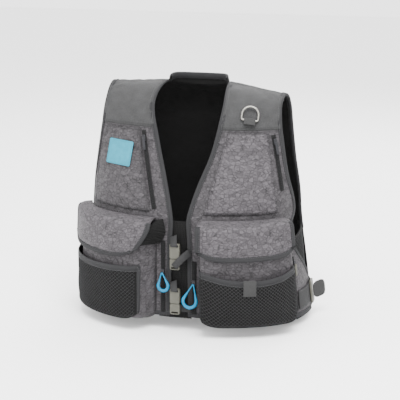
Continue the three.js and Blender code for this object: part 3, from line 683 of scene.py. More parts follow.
def chest_pocket(side, left, right, seed):
    """One chest pocket, crowned between its seams and buckled along them."""
    def crown(s, t):
        full = np.abs(np.sin(math.pi * s) * np.sin(math.pi * t)) ** 0.5
        return pocket_edge + (pocket_bulge - pocket_fill) * full
    cloth = crumple(cut_cloth(left, right, crown, 3.6), 0.03, 3.0, pocket_fill, seed)
    if side < 0:
        distance = np.linalg.norm(cloth.points - badge_middle, axis=-1)
        press = 1 / (1 + (distance / 38) ** 8)
        gap = np.sum((badge_middle - cloth.points) * cloth.normals, axis=-1) - 1.35
        moved = cloth.points + cloth.normals * (press * np.clip(gap, -3, 3))[..., None]
        cloth = Cloth(cloth.s, cloth.t, moved, cloth.normals)
    name = word_of(side) + "_chest_pocket"
    look = ripstop if side < 0 else ripstop_pocket
    pocket = shell(name + "_patch", cloth, 1.5, look, look)
    settle(pocket, "root", "ripstop", name)
    word_of(side) + "_front_panel"
    return cloth


ripstop_pocket = ripstop_finish("ripstop_pocket", (0.066, 0.060, 0.066), (0.032, 0.029, 0.032),
                                ripstop_line)
chest = {
    -1: chest_pocket(-1, edge(place(-190, -241), place(-184, -165), place(-168, -88)),
                     edge(place(-57.5, -241), place(-92, -88)), 31),
    1: chest_pocket(1, edge(place(48, -241), place(66, -165), place(84, -88)),
                    edge(place(184, -241), place(172, -165), place(160, -88)), 32),
}

# ---- Cargo pockets, mesh pockets and flaps -----------------------------------------------------
# Each bellows pocket is a ripstop box sewn on by its walls, with a stretch mesh pocket on its
# front and a flap whose padded brow rolls over the top.
cargo_bottom, brow_drop, mesh_top = -460, 14, -344
flap_gap, flap_thickness, brow_share, flap_corner = 1.3, 2.4, 0.2, 14
cargo = {
    -1: {"feet": (around(-80, 0)[0], place(-43, -350)[0]), "corner": (0.06, 0.14), "footing": (3.1, 0.7),
         "depth": (16, 38), "bottom": -329, "flare": 9, "sag": 6, "belly": 6},
    1: {"feet": (place(44, -350)[0], around(63, 0)[0]), "corner": (0.035, 0.09), "footing": (0.7, 0.7),
        "depth": (38, 28), "bottom": -322, "flare": 0, "sag": 17, "belly": 13},
}


def bag_width(bag):
    across = skin(np.linspace(*bag["feet"], 30), np.full(30, -380.0), np.full(30, np.mean(bag["depth"])))
    return float(np.linalg.norm(np.diff(across, axis=0), axis=-1).sum())


def wall(bag, s):
    """How far the front stands off at a share across, from 0 at a foot to 1 on the front."""
    first, last = bag["corner"]
    return np.sin(np.clip(np.minimum(s / first, (1 - s) / last), 0, 1) * math.pi / 2) ** 0.9


def cargo_cloth(bag, seed):
    corners = np.array(bag["corner"])
    s = np.unique(np.concatenate([np.linspace(0, corners[0] * 1.3, 12), np.linspace(0, 1, 46),
                                  1 - np.linspace(0, corners[1] * 1.3, 14)]))
    t = np.unique(np.concatenate([np.linspace(0, 0.07, 8), np.linspace(0.07, 1, 44)]))
    S, T = np.meshgrid(s, t)
    bottom = cargo_bottom + 15 * np.abs(2 * S - 1) ** 12
    v = mix(bottom, flap_seam - 8 - brow_drop * wall(bag, S), T)
    u = mix(*bag["feet"], S)
    out = wall(bag, S) * np.sin(np.clip(T / 0.07, 0, 1) * math.pi / 2) ** 0.8
    lift = mix(*bag["footing"], S) + out * mix(*bag["depth"], S)
    facing = body_normal(u, v)
    cloth = Cloth(s, t, skin(u, v, lift), facing)
    return waved(cloth, 19, 2.4, seed, 10)


def mesh_cloth(bag, seed):
    s, t = shares(bag_width(bag) * 0.82, 4.0), shares(110, 4.0)
    S, T = np.meshgrid(s, t)
    across = mix(bag["corner"][0] * 0.35, 1 - bag["corner"][1] * 0.55, S)
    corner = 17 * np.abs(2 * S - 1) ** 10
    v = mix(cargo_bottom + 6 + corner, mesh_top - bag["sag"] * np.sin(math.pi * S), T)
    belly = bag["belly"] * np.minimum(1, 1.6 * np.sin(math.pi * S)) \
        * np.sin(0.5 * math.pi * np.minimum(1, T * 1.15))
    lift = mix(*bag["footing"], S) + layer_gap + 1.6 \
        + mix(*bag["depth"], across) * wall(bag, across) + belly
    u = mix(*bag["feet"], across)
    return waved(Cloth(s, t, skin(u, v, lift), body_normal(u, v)), 24, 1.6, seed, 12)


def flap_cloth(side, bag, seed):
    s, t = shares(165, 3.6), shares(112, 3.2)
    S, T = np.meshgrid(s, t)
    brow = np.clip(T / brow_share, 0, 1) * math.pi / 2
    below = np.clip((T - brow_share) / (1 - brow_share), 0, 1)
    corner = flap_corner * 1.3 * np.abs(2 * S - 1) ** 6 * below ** 3
    v = flap_seam - brow_drop * (1 - np.cos(brow)) \
        + below * (bag["bottom"] + corner - flap_seam + brow_drop)
    drop = np.maximum(0, flap_seam - brow_drop - v) / (flap_seam - bag["bottom"])
    inner_x = -44 - 52 * drop ** 1.3 if side < 0 else 43 + 0 * v
    share = np.abs(inner_x) / half_width(v, inner_x > 0)
    inner = np.sign(inner_x) * np.arcsin(share ** (squareness / 2))
    outer = np.full_like(inner, around(-75 if side < 0 else 61, 0)[0])
    ends = (outer, inner) if side < 0 else (inner, outer)
    full = mix(*bag["footing"], S) + flap_gap + flap_thickness \
        + bag["flare"] * (1 - S) ** 3 + mix(*bag["depth"], S)
    lift = mix(2.7, full, np.sin(brow) ** 0.85)
    cloth = Cloth(s, t, skin(mix(*ends, S), v, lift), body_normal(mix(*ends, S), v))
    soft = crumple(cloth, 0.02, 3.0, 2.6, seed)
    free = np.clip((cloth.to_edge - 7) / 9, 0, 1)[..., None]
    eased_in = mix(cloth.points, soft.points, free * free * (3 - 2 * free))
    return Cloth(cloth.s, cloth.t, eased_in, cloth.normals), mix(1.2, 2.0, np.sin(brow))


flap_fold = {-1: (40, -0.005, 0.001), 1: (20, -0.007, 0.009)}


def blend_flap(piece, side):
    """Bakes a flap piece's placement into its mesh. The hinge and the fold line over the pocket's brow are worked
    out, but nothing bends the piece.
    """
    word = word_of(side)
    joint = next(j for j in frame["joints"] if j["name"] == word + "_flap_open")
    hinge, up = Vector(joint["pos_m"]), Vector((0, 0, 1))
    outward = up.cross(Vector(joint["axis"])).normalized()
    slope, first, last = flap_fold[side]
    fold = outward * math.cos(math.radians(slope)) - up * math.sin(math.radians(slope))
    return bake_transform(piece, "root", word + "_flap", start=hinge + fold * first, end=hinge + fold * last)


bags, nets, flaps = {}, {}, {}
for side, bag in cargo.items():
    word = word_of(side)
    bags[side] = cargo_cloth(bag, 41 + side)
    piece = shell(word + "_cargo_pocket_bag", bags[side], 1.6, ripstop, lining)
    settle(piece, "root", "ripstop", word + "_cargo_pocket")
    word + "_front_panel"
    nets[side] = mesh_cloth(bag, 44 + side)
    piece = shell(word + "_mesh_pocket_knit", nets[side], 1.2, knit, knit)
    settle(piece, "root", "stretch_mesh", word + "_mesh_pocket")
    word + "_cargo_pocket"
    flaps[side], thickness = flap_cloth(side, bag, 47 + side)
    piece = shell(word + "_flap_cloth", flaps[side], thickness, ripstop_pocket, lining)
    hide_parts(word + "_flap")
    word + "_front_panel"
    blend_flap(piece, side)



def gathers(s, t):
    """The gusset slopes from the pocket's front corner down to the panel, in pleats."""
    slope = 2.4 + 40 * np.maximum(0, 1 - s * 1.08) ** 1.2 * np.minimum(1, (1 - t) * 2.2) ** 0.7
    return slope + (0.4 + 1.5 * s * (1 - t)) * (1 + np.cos((t + 0.25 * s) * 16 * math.pi))


gusset = cut_cloth(edge(place(-60, -300), place(-55, -275), place(-43, -255)),
                   edge(place(-36, -302), place(-25, -280), place(-30, -252)), gathers, 1.2)
piece = shell("right_corner_gusset_knit", gusset, 0.8, knit, knit, roll=0.5)
settle(piece, "root", "stretch_mesh", "right_corner_gusset")

# ---- Edge tapes -----------------------------------------------------------------------------
# Every raw edge is folded into a ribbed grosgrain tape, sewn through both legs. One length runs
# up each front edge and round the neck, another round each armhole.


def woven_finish(name, light, dark, across, along):
    """Ribbed tape or webbing: ribs across its length, crossed by fine warp lines."""
    material, cloth = start_finish(name)
    rib = cloth.axis(0).wave(across)
    warp = cloth.axis(1).wave(along)
    fleck = cloth.noise(0.004, 2.0)
    colour = (rib * 0.6 + fleck * 0.4).mixed(dark, light)
    return end_finish(material, (warp * 0.25).mixed(colour, dark), 0.75, rib + warp * 0.5, 0.0004)


grosgrain = woven_finish("grosgrain", (0.021, 0.021, 0.022), (0.010, 0.010, 0.011), 0.0016, 0.0009)


def sweep(name, path, facing, off, section, look):
    """A closed strip: a section of (off, out) points carried along a line of points."""
    section = np.array(section, float)
    side = unit(off - facing * np.sum(off * facing, axis=-1, keepdims=True))
    rings = path[:, None] + side[:, None] * section[None, :, :1] + facing[:, None] * section[None, :, 1:]
    count, points = len(section), len(path)
    ids = np.arange(points * count).reshape(points, count)
    turned = np.roll(ids, -1, axis=1)
    quads = np.stack([ids[:-1], turned[:-1], turned[1:], ids[1:]], -1).reshape(-1, 4)
    run = np.concatenate([[0], np.cumsum(np.linalg.norm(np.diff(path, axis=0), axis=1))]) * MM
    round_it = np.concatenate([[0], np.cumsum(np.linalg.norm(np.diff(section, axis=0), axis=1))]) * MM
    mesh = bpy.data.meshes.new(name)
    shape = bmesh.new()
    uv = shape.loops.layers.uv.new("cloth")
    verts = [shape.verts.new(p) for p in (rings.reshape(-1, 3) * MM).tolist()]
    for quad in quads.tolist():
        face = shape.faces.new([verts[i] for i in quad])
        for loop, i in zip(face.loops, quad):
            loop[uv].uv = (run[i // count], round_it[i % count])
    shape.faces.new([verts[i] for i in ids[0].tolist()])
    shape.faces.new([verts[i] for i in ids[-1, ::-1].tolist()])
    bmesh.ops.recalc_face_normals(shape, faces=shape.faces)
    for face in shape.faces:
        face.smooth = True
    shape.to_mesh(mesh)
    shape.free()
    mesh.materials.append(look)
    piece = bpy.data.objects.new(name, mesh)
    bpy.context.scene.collection.objects.link(piece)
    return piece


def hem_of(cloth, side, first=0.0, last=1.0, count=60):
    """The edge of a cloth, the way it faces there and the way off it."""
    path, facing = cloth.beside(side, 0.0, 0.0, first, last, count)
    inside, _ = cloth.beside(side, 6.0, 0.0, first, last, count)
    return path, facing, unit(path - inside)


def joined(*runs):
    """Several edges end to end as one, evened out where they meet."""
    path, facing, off = (np.concatenate(parts) for parts in zip(*runs))
    for _ in range(4):
        path[1:-1] = (path[:-2] + path[1:-1] * 2 + path[2:]) / 4
        facing[1:-1] = unit(facing[:-2] + facing[1:-1] * 2 + facing[2:])
        off[1:-1] = unit(off[:-2] + off[1:-1] * 2 + off[2:])
    return path, facing, off


def folded_tape(leg, thickness, tape=1.0):
    """The section of a tape folded round a cloth edge of this thickness."""
    outside = [(-leg, tape), (0.2, tape), (1.3, tape * 0.5), (1.9, -thickness / 2),
               (1.3, -thickness - tape * 0.5), (0.2, -thickness - tape), (-leg, -thickness - tape)]
    inside = [(-leg, -thickness - 0.1), (0.3, -thickness - 0.1), (0.3, 0.1), (-leg, 0.1)]
    return outside + inside


seams = []


def bind(name, run, leg, thickness, *nodes):
    """Sews a folded tape over an edge and remembers its stitching line."""
    settle(sweep(name, *run, folded_tape(leg, thickness), grosgrain), "root", "binding", *nodes)
    path, facing, off = run
    seams.append(path - off * (leg - 1.3) + facing * 1.05)


for side in (-1, 1):
    word = word_of(side)
    neck = joined(hem_of(panels[side], "right", 0.0, 1.0, 90), hem_of(yokes[side], "right", 0.0, 1.0, 40))
    bind(word + "_neck_tape", neck, 8, shell_thickness, word + "_neck_binding")
    back_side = "left" if side > 0 else "right"
    front_part = hem_of(panels[side], "left", 0.19, 1.0, 90)
    yoke_part = hem_of(yokes[side], "left", 0.0, 1.0, 40)
    back_yoke_part = [line[::-1] for line in hem_of(back_yoke, back_side, 0.0, 1.0, 40)]
    back_part = [line[::-1] for line in hem_of(back, back_side, 0.42, 1.0, 60)]
    arm = joined(front_part, yoke_part, back_yoke_part, back_part)
    bind(word + "_armhole_tape", arm, 8, shell_thickness, word + "_armhole_binding")
    bind(word + "_flap_tape_root", hem_of(bags[side], "top", 0.04, 0.96, 60), 5, 1.6)

collar_run = hem_of(collar, "top", 0.0, 1.0, 70)
bind("collar_tape", collar_run, 11, collar_thickness + 0.6)
for side, edge_name in ((-1, "right"), (1, "left")):
    rim_run = hem_of(nets[side], "top", 0.0, 1.0, 60)
    bind(word_of(side) + "_mesh_pocket_tape", rim_run, 10, 1.2)
    bind(word_of(side) + "_mesh_pocket_side_tape", hem_of(nets[side], edge_name, 0.03, 0.98, 40), 6, 1.2)


def flap_hem(side):
    """A flap's free edge: down one side, along the bottom and up the other."""
    cloth = flaps[side]
    climb = [line[::-1] for line in hem_of(cloth, "right", 0.12, 0.97, 50)]
    return joined(hem_of(cloth, "left", 0.12, 0.97, 50), hem_of(cloth, "top", 0.03, 0.97, 60), climb)


flap_seams = {}
for side in (-1, 1):
    run = flap_hem(side)
    flap_tape = sweep(word_of(side) + "_flap_tape", *run, folded_tape(8, 2.0), grosgrain)
    blend_flap(flap_tape, side)
    path, facing, off = run
    flap_seams[side] = path - off * 6.7 + facing * 1.05

# ---- Stitching -----------------------------------------------------------------------------------
# Bonded thread in a lockstitch: each stitch is a short bead that stands a little out of the cloth.
# The rows follow the tapes, the pocket edges and the quilting of the yokes.


def new_tree(name, sizes):
    """A Geometry Nodes tree with a mesh in, the named sizes and a material, and a mesh out."""
    tree = bpy.data.node_groups.new(name, "GeometryNodeTree")
    tree.interface.new_socket("Geometry", in_out="INPUT", socket_type="NodeSocketGeometry")
    for size, value in sizes.items():
        tree.interface.new_socket(size, in_out="INPUT", socket_type="NodeSocketFloat").default_value = value
    tree.interface.new_socket("Finish", in_out="INPUT", socket_type="NodeSocketMaterial")
    tree.interface.new_socket("Geometry", in_out="OUTPUT", socket_type="NodeSocketGeometry")
    return tree, tree.nodes.new("NodeGroupInput"), tree.nodes.new("NodeGroupOutput")


def grow(tree, kind, settings, inputs, output=0):
    """Adds a node, sets it, joins its inputs and returns one of its outputs."""
    made = tree.nodes.new(kind)
    for key, value in settings.items():
        setattr(made, key, value)
    for key, value in inputs.items():
        if isinstance(value, bpy.types.NodeSocket):
            tree.links.new(value, made.inputs[key])
        else:
            made.inputs[key].default_value = value
    return made.outputs[output]


def end_tree(tree, entry, leave, geometry):
    real = grow(tree, "GeometryNodeRealizeInstances", {}, {"Geometry": geometry})
    tree.links.new(grow(tree, "GeometryNodeSetMaterial", {},
                        {"Geometry": real, "Material": entry.outputs["Finish"]}),
                   leave.inputs["Geometry"])
    return tree


def beads_along(name, sizes, bead):
    """A tree that sets one bead in every pitch of a path, turned along it and facing outward."""
    tree, entry, leave = new_tree(name, sizes)
    path = grow(tree, "GeometryNodeMeshToCurve", {}, {"Mesh": entry.outputs["Geometry"]})
    evened = grow(tree, "GeometryNodeResampleCurve", {"mode": "LENGTH"},
                  {"Curve": path, "Length": entry.outputs["Pitch"]})
    tangent = grow(tree, "GeometryNodeInputTangent", {}, {})
    outward = grow(tree, "GeometryNodeInputNamedAttribute", {"data_type": "FLOAT_VECTOR"},
                   {"Name": "outward"})
    turned = grow(tree, "FunctionNodeAlignRotationToVector", {"axis": "X"}, {"Vector": tangent})
    faced = grow(tree, "FunctionNodeAlignRotationToVector", {"axis": "Z", "pivot_axis": "X"},
                 {"Rotation": turned, "Vector": outward})
    beads = grow(tree, "GeometryNodeInstanceOnPoints", {},
                 {"Points": evened, "Instance": bead(tree, entry), "Rotation": faced})
    return end_tree(tree, entry, leave, beads)


def stitch_bead(tree, entry):
    """A stitch: a small ball drawn out to the stitch's length."""
    ball = grow(tree, "GeometryNodeMeshUVSphere", {}, {"Segments": 6, "Rings": 4, "Radius": 0.5})
    long, thick = entry.outputs["Length"], entry.outputs["Thickness"]
    size = grow(tree, "ShaderNodeCombineXYZ", {}, {0: long, 1: thick, 2: thick})
    return grow(tree, "GeometryNodeTransform", {}, {"Geometry": ball, "Scale": size})


def run_tree(name, tree, lines, facings, look, sizes=()):
    """Runs a tree on lines of points and returns what it makes as a plain mesh piece."""
    points = np.concatenate(lines)
    links, start = [], 0
    for line in lines:
        links += [(start + i, start + i + 1) for i in range(len(line) - 1)]
        start += len(line)
    mesh = bpy.data.meshes.new(name)
    mesh.from_pydata((points * MM).tolist(), links, [])
    outward = mesh.attributes.new("outward", "FLOAT_VECTOR", "POINT")
    outward.data.foreach_set("vector", np.concatenate(facings).astype(np.float32).reshape(-1))
    guide = bpy.data.objects.new(name + "_guide", mesh)
    bpy.context.scene.collection.objects.link(guide)
    modifier = guide.modifiers.new("tree", "NODES")
    modifier.node_group = tree
    identifiers = {item.name: item.identifier for item in tree.interface.items_tree
                   if item.in_out == "INPUT"}
    modifier[identifiers["Finish"]] = look
    for size, value in dict(sizes).items():
        modifier[identifiers[size]] = value
    result = bpy.data.meshes.new_from_object(guide.evaluated_get(bpy.context.evaluated_depsgraph_get()))
    bpy.data.objects.remove(guide)
    result.name = name
    piece = bpy.data.objects.new(name, result)
    bpy.context.scene.collection.objects.link(piece)
    return piece


def thread_finish(name, colour):
    material, place_on = start_finish(name, on_cloth=False)
    twist = place_on.noise(0.0008, 2.0)
    return end_finish(material, twist.mixed(tuple(c * 0.6 for c in colour), colour), 0.6, twist, 0.0002)


pale_thread = thread_finish("pale_thread", (0.064, 0.063, 0.066))
dark_thread = thread_finish("dark_thread", (0.012, 0.012, 0.013))
stitch_tree = beads_along("stitch_row", {"Pitch": 0.0036, "Length": 0.0027, "Thickness": 0.0008},
                          stitch_bead)


def line_on(cloth, side, inset, first=0.02, last=0.98, count=70, lift=0.12):
    return cloth.beside(side, inset, lift, first, last, count)[0]


def outline(cloth, inset, sides=("left", "right", "bottom", "top"), lift=0.12):
    """Stitching lines just inside the chosen sides of a cloth."""
    return [line_on(cloth, side, inset, lift=lift) for side in sides]


def stitch(name, body, lines, look, **sizes):
    facings = [np.tile([0.0, -1.0, 0.0], (len(line), 1)) for line in lines]
    piece = run_tree(name, stitch_tree, lines, facings, look, sizes)
    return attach(piece, body) if body else piece


pocket_rows = []
for side in (-1, 1):
    pocket_rows += outline(chest[side], 2.0) + outline(chest[side], 5.0, ("bottom", "left", "right"))
    pocket_rows += [line_on(bags[side], "bottom", 3.0)]
    pocket_rows += outline(nets[side], 2.2, ("bottom", "left", "right"))
stitch("pocket_stitching", "root", pocket_rows, dark_thread)
yoke_rows = outline(back_yoke, 3.0, ("bottom",)) + outline(back_yoke, 6.5, ("bottom",))
for side in (-1, 1):
    yoke_rows += outline(yokes[side], 2.6, ("bottom", "top")) + outline(yokes[side], 6.0, ("bottom",))
    yoke_rows += outline(panels[side], 3.0, ("top",))
stitch("yoke_stitching", "root", yoke_rows, dark_thread)
stitch("tape_stitching", "root", seams, pale_thread)
for side in (-1, 1):
    rows = [flap_seams[side], line_on(flaps[side], "bottom", 5.0, 0.02, 0.98)]
    blend_flap(stitch(word_of(side) + "_flap_stitching", None, rows, pale_thread), side)

# ---- Mesh threads --------------------------------------------------------------------------------
# The stretch mesh is warp-knitted: upright strands zigzag and touch their neighbours, which leaves
# rows of small diamond eyes over the pocket cloth.


def net_tree():
    tree, entry, leave = new_tree("knitted_net", {"Radius": 0.0004})
    path = grow(tree, "GeometryNodeMeshToCurve", {}, {"Mesh": entry.outputs["Geometry"]})
    ring = grow(tree, "GeometryNodeCurvePrimitiveCircle", {},
                {"Resolution": 4, "Radius": entry.outputs["Radius"]})
    strands = grow(tree, "GeometryNodeCurveToMesh", {},
                   {"Curve": path, "Profile Curve": ring, "Fill Caps": True})
    return end_tree(tree, entry, leave, strands)


def strands_on(cloth, across, up, lift=0.5, inset=3.0):
    """Zigzag strands over a cloth, `across` millimetres apart with a turn every `up`."""
    width, length = float(cloth.width.mean()), float(cloth.height.mean())
    turns = np.linspace(inset / length, 1 - inset / length, int(length / up))
    lines = []
    for number in range(int((width - 2 * inset) / across)):
        swing = np.where(np.arange(len(turns)) % 2 == number % 2, 0.46, -0.46)
        lines.append(cloth.at((inset + across * (number + 0.5 + swing)) / width, turns, lift)[0])
    return lines


thread_black = thread_finish("black_strand", (0.030, 0.030, 0.031))
net = net_tree()
for side in (-1, 1):
    for part, cloth, across, up in (("mesh_pocket", nets[side], 4.2, 3.6),
                                    ("side_panel", side_panels[side], 4.6, 4.2)):
        lines = strands_on(cloth, across, up)
        piece = run_tree(f"{word_of(side)}_{part}_strands", net, lines, lines, thread_black,
                         {"Radius": 0.0006})
        settle(piece, "root", "stretch_mesh")

# ---- Zips ------------------------------------------------------------------------------------------
# Moulded-tooth zips on woven tape. The slider rides over the teeth, and a bar or a bright cord
# loop hangs from it.
teeth_black = thread_finish("zip_teeth", (0.011, 0.011, 0.012))
zip_weave = woven_finish("zip_weave", (0.009, 0.009, 0.009), (0.004, 0.004, 0.004), 0.0011, 0.0007)
tape_half, tape_low, tape_top = 4.2, 0.75, 1.5


def zip_bead(tree, entry):
    """A pair of teeth, one from each half of the zip and half a pitch apart."""
    ball = grow(tree, "GeometryNodeMeshUVSphere", {}, {"Segments": 6, "Rings": 4, "Radius": 0.5})
    pitch, width = entry.outputs["Pitch"], entry.outputs["Width"]
    long = grow(tree, "ShaderNodeMath", {"operation": "MULTIPLY"}, {0: pitch, 1: 0.62})
    size = grow(tree, "ShaderNodeCombineXYZ", {}, {0: long, 1: width, 2: entry.outputs["Thickness"]})
    halves = []
    for way in (-1, 1):
        along = grow(tree, "ShaderNodeMath", {"operation": "MULTIPLY"}, {0: pitch, 1: 0.25 * way})
        aside = grow(tree, "ShaderNodeMath", {"operation": "MULTIPLY"}, {0: width, 1: 0.36 * way})
        shift = grow(tree, "ShaderNodeCombineXYZ", {}, {0: along, 1: aside})
        halves.append(grow(tree, "GeometryNodeTransform", {},
                           {"Geometry": ball, "Translation": shift, "Scale": size}))
    join = tree.nodes.new("GeometryNodeJoinGeometry")
    for half in halves:
        tree.links.new(half, join.inputs["Geometry"])
    return join.outputs["Geometry"]


zip_tree = beads_along("zip_teeth", {"Pitch": 0.0017, "Width": 0.0026, "Thickness": 0.0013}, zip_bead)


def side_of(path, facing):
    return unit(np.cross(np.gradient(path, axis=0), facing))


zips = {"right_chest": (place(-50, -235), place(-84, -90)),
        "left_chest": (place(189, -200), place(169, -92)),
        "right_front": (place(-30, -440), place(-30, -296)), "left_front": (place(33, -440),
                                                                            place(33, -334)),
        "left_side": (around(68, -444), around(68, -334))}
for name, (bottom, top) in zips.items():
    line = edge(bottom, top)(np.linspace(0, 1, 60))
    path, facing = body_point(line[:, 0], line[:, 1]), body_normal(line[:, 0], line[:, 1])
    section = [(-tape_half, tape_low), (tape_half, tape_low), (tape_half, tape_top), (-tape_half, tape_top)]
    tape = sweep(name + "_zip_tape", path, facing, side_of(path, facing), section, zip_weave)
    settle(tape, "root", "zip_tape", name + "_zip")
    inset = path[2:-2] + facing[2:-2] * 1.75
    settle(run_tree(name + "_zip_teeth", zip_tree, [inset], [facing[2:-2]], teeth_black), "root",
           "zip_tape")
    edges = [path + (side_of(path, facing) * 3.3 * way) + facing * 1.55 for way in (-1, 1)]
    stitch(name + "_zip_stitching", "root", edges, dark_thread)

# ---- Hard pieces -------------------------------------------------------------------------------
# Sliders and pulls, buckles and ladder locks are moulded, so every corner has a small radius. The
# D-ring is bent wire. The badge is moulded rubber, sewn on round its border.


def eased(name, node, radius, steps, look, body, slot):
    """A CAD piece with its corners rounded, which stands for that piece."""
    shape = bmesh.new()
    shape.from_mesh(frame["nodes"][node].data)
    bmesh.ops.remove_doubles(shape, verts=shape.verts, dist=1e-6)
    mesh = bpy.data.meshes.new(name)
    shape.to_mesh(mesh)
    shape.free()
    rough = bpy.data.objects.new(name + "_rough", mesh)
    bpy.context.scene.collection.objects.link(rough)
    bevel = rough.modifiers.new("corners", "BEVEL")
    bevel.width = radius * MM
    bevel.segments = steps
    bevel.limit_method = "ANGLE"
    bevel.angle_limit = math.radians(32)
    result = bpy.data.meshes.new_from_object(rough.evaluated_get(bpy.context.evaluated_depsgraph_get()))
    bpy.data.objects.remove(rough)
    result.name = name
    result.materials.clear()
    result.materials.append(look)
    result.polygons.foreach_set("use_smooth", np.ones(len(result.polygons), bool))
    result.set_sharp_from_angle(angle=math.radians(40))
    piece = bpy.data.objects.new(name, result)
    bpy.context.scene.collection.objects.link(piece)
    return settle(piece, body, slot, node)


def moulded_finish(name, colour, rough, grain=0.0007):
    """Injection-moulded plastic or rubber with a fine spark-eroded grain and rubbed patches."""
    material, place_on = start_finish(name, on_cloth=False)
    fine, broad = place_on.noise(grain, 2.0), place_on.noise(0.012, 3.0)
    shade = broad.mixed(tuple(c * 0.72 for c in colour), tuple(min(1.0, c * 1.2) for c in colour))
    return end_finish(material, shade, rough + broad * 0.2 - 0.1, fine, 0.00012)


pale_plastic = moulded_finish("pale_acetal", (0.062, 0.061, 0.050), 0.42)
dark_plastic = moulded_finish("dark_acetal", (0.014, 0.014, 0.016), 0.45)
cyan_rubber = moulded_finish("cyan_cord", (0.000, 0.120, 0.230), 0.48, 0.0012)
badge_rubber = moulded_finish("badge_rubber", (0.017, 0.162, 0.221), 0.6, 0.0009)

metal, place_on = start_finish("bent_wire", on_cloth=False)
scratch = place_on.noise(0.0015, 4.0)
ring_metal = end_finish(metal, scratch.mixed((0.10, 0.10, 0.09), (0.25, 0.24, 0.22)), 0.24 + scratch * 0.2,
                        scratch, 0.00008, metallic=1.0)

webbing = woven_finish("webbing", (0.024, 0.024, 0.025), (0.011, 0.011, 0.011), 0.0021, 0.0013)


def webbing_on_piece():
    """The same webbing on a loose end, whose ribs run up the piece."""
    material, place_on = start_finish("webbing_end", on_cloth=False)
    rib, fleck = place_on.axis(2).wave(0.0021), place_on.noise(0.003, 2.0)
    colour = (rib * 0.6 + fleck * 0.4).mixed((0.011, 0.011, 0.011), (0.032, 0.032, 0.032))
    return end_finish(material, colour, 0.75, rib, 0.0004)


webbing_end = webbing_on_piece()
for name in zips:
    eased(name + "_slider_body", name + "_slider", 0.8, 3, dark_plastic, name + "_slider", "dark_plastic")
for name, look, slot in (("right_chest", dark_plastic, "dark_plastic"),
                         ("left_chest", dark_plastic, "dark_plastic"),
                         ("left_side", pale_plastic, "grey_plastic")):
    eased(name + "_pull_bar", name + "_pull", 0.5, 3, look, name + "_pull", slot)


def round_bar(name, path, out, half, flat, look):
    """A bar along a line of points, `half` thick to the side and `flat` times that outward."""
    half, flat = np.broadcast_to(half, len(path)), np.broadcast_to(flat, len(path))
    side = unit(np.cross(np.gradient(path, axis=0), out))
    angle = np.linspace(0, 2 * math.pi, 14, endpoint=False)
    rings = (path[:, None] + side[:, None] * (half[:, None] * np.cos(angle))[..., None]
             + out * ((half * flat)[:, None] * np.sin(angle))[..., None])
    shape = bmesh.new()
    verts = [[shape.verts.new(p) for p in ring] for ring in (rings * MM).tolist()]
    for first, second in zip(verts, verts[1:]):
        for k in range(14):
            shape.faces.new((first[k], first[(k + 1) % 14], second[(k + 1) % 14], second[k])).smooth = True
    shape.faces.new(verts[0][::-1])
    shape.faces.new(verts[-1])
    bmesh.ops.recalc_face_normals(shape, faces=shape.faces)
    result = bpy.data.meshes.new(name)
    shape.to_mesh(result)
    shape.free()
    result.materials.append(look)
    piece = bpy.data.objects.new(name, result)
    bpy.context.scene.collection.objects.link(piece)
    return piece


def hung_frame(node, joint_name):
    """A hung piece's pivot, its directions, and its length, half width and half thickness."""
    corners = np.array([v.co for v in frame["nodes"][node].data.vertices]) / MM
    joint = next(j for j in frame["joints"] if j["name"] == joint_name)
    pivot, across = np.array(joint["pos_m"]) / MM, unit(np.array(joint["axis"], float))
    middle = (corners.min(0) + corners.max(0)) / 2 - pivot
    down = unit(middle - across * (middle @ across))
    out = np.cross(across, down)
    long = float(((corners - pivot) @ down).max())
    wide = float(np.abs((corners - pivot) @ across).max())
    thick = float(np.abs((corners - pivot - down * long * 0.7) @ out).max())
    return pivot, across, down, out, long, wide, thick


def cord_loop(name):
    """A cord drawn through the slider's eye, with a fat moulded sleeve round its foot."""
    pivot, across, down, out, long, wide, thick = hung_frame(name, name + "_lift")
    fat = 3.3
    radius, centre = wide - fat, long - wide
    open_angle = math.acos(min(1.0, radius / (centre - 1.0)))
    turn = np.linspace(open_angle, 2 * math.pi - open_angle, 72)
    bend = np.stack([centre - radius * np.cos(turn), radius * np.sin(turn)], -1)
    share = np.linspace(0, 1, 24)[:, None]
    eye = np.array([1.0, 0.6])
    line = np.concatenate([mix(eye, bend[0], share[:-1]), bend, mix(bend[-1], eye * (1, -1), share[1:])])
    swell = np.clip((line[:, 0] - centre * 0.5) / (centre * 0.45), 0, 1)
    path = pivot + line[:, :1] * down + line[:, 1:] * across
    piece = round_bar(name + "_loop", path, out, mix(1.3, fat, swell ** 0.8),
                      mix(1.0, min(1.0, thick / fat), swell), cyan_rubber)
    settle(piece, name, "cyan_cord", name)


for name in ("right_front_pull", "left_front_pull"):
    cord_loop(name)
for word in ("upper", "lower"):
    eased(word + "_buckle_socket_shell", word + "_buckle_socket", 0.7, 3, pale_plastic, "root",
          "grey_plastic")
    plug = word + "_buckle_plug"
    eased(plug + "_body", plug, 0.6, 3, pale_plastic, plug, "grey_plastic")
for word in ("right", "left"):
    lock = word + "_ladder_lock"
    eased(lock + "_frame", lock, 0.9, 3, pale_plastic, lock, "grey_plastic")
    eased(word + "_strap_tail_end", word + "_strap_tail", 0.5, 2, webbing_end, lock, "webbing")

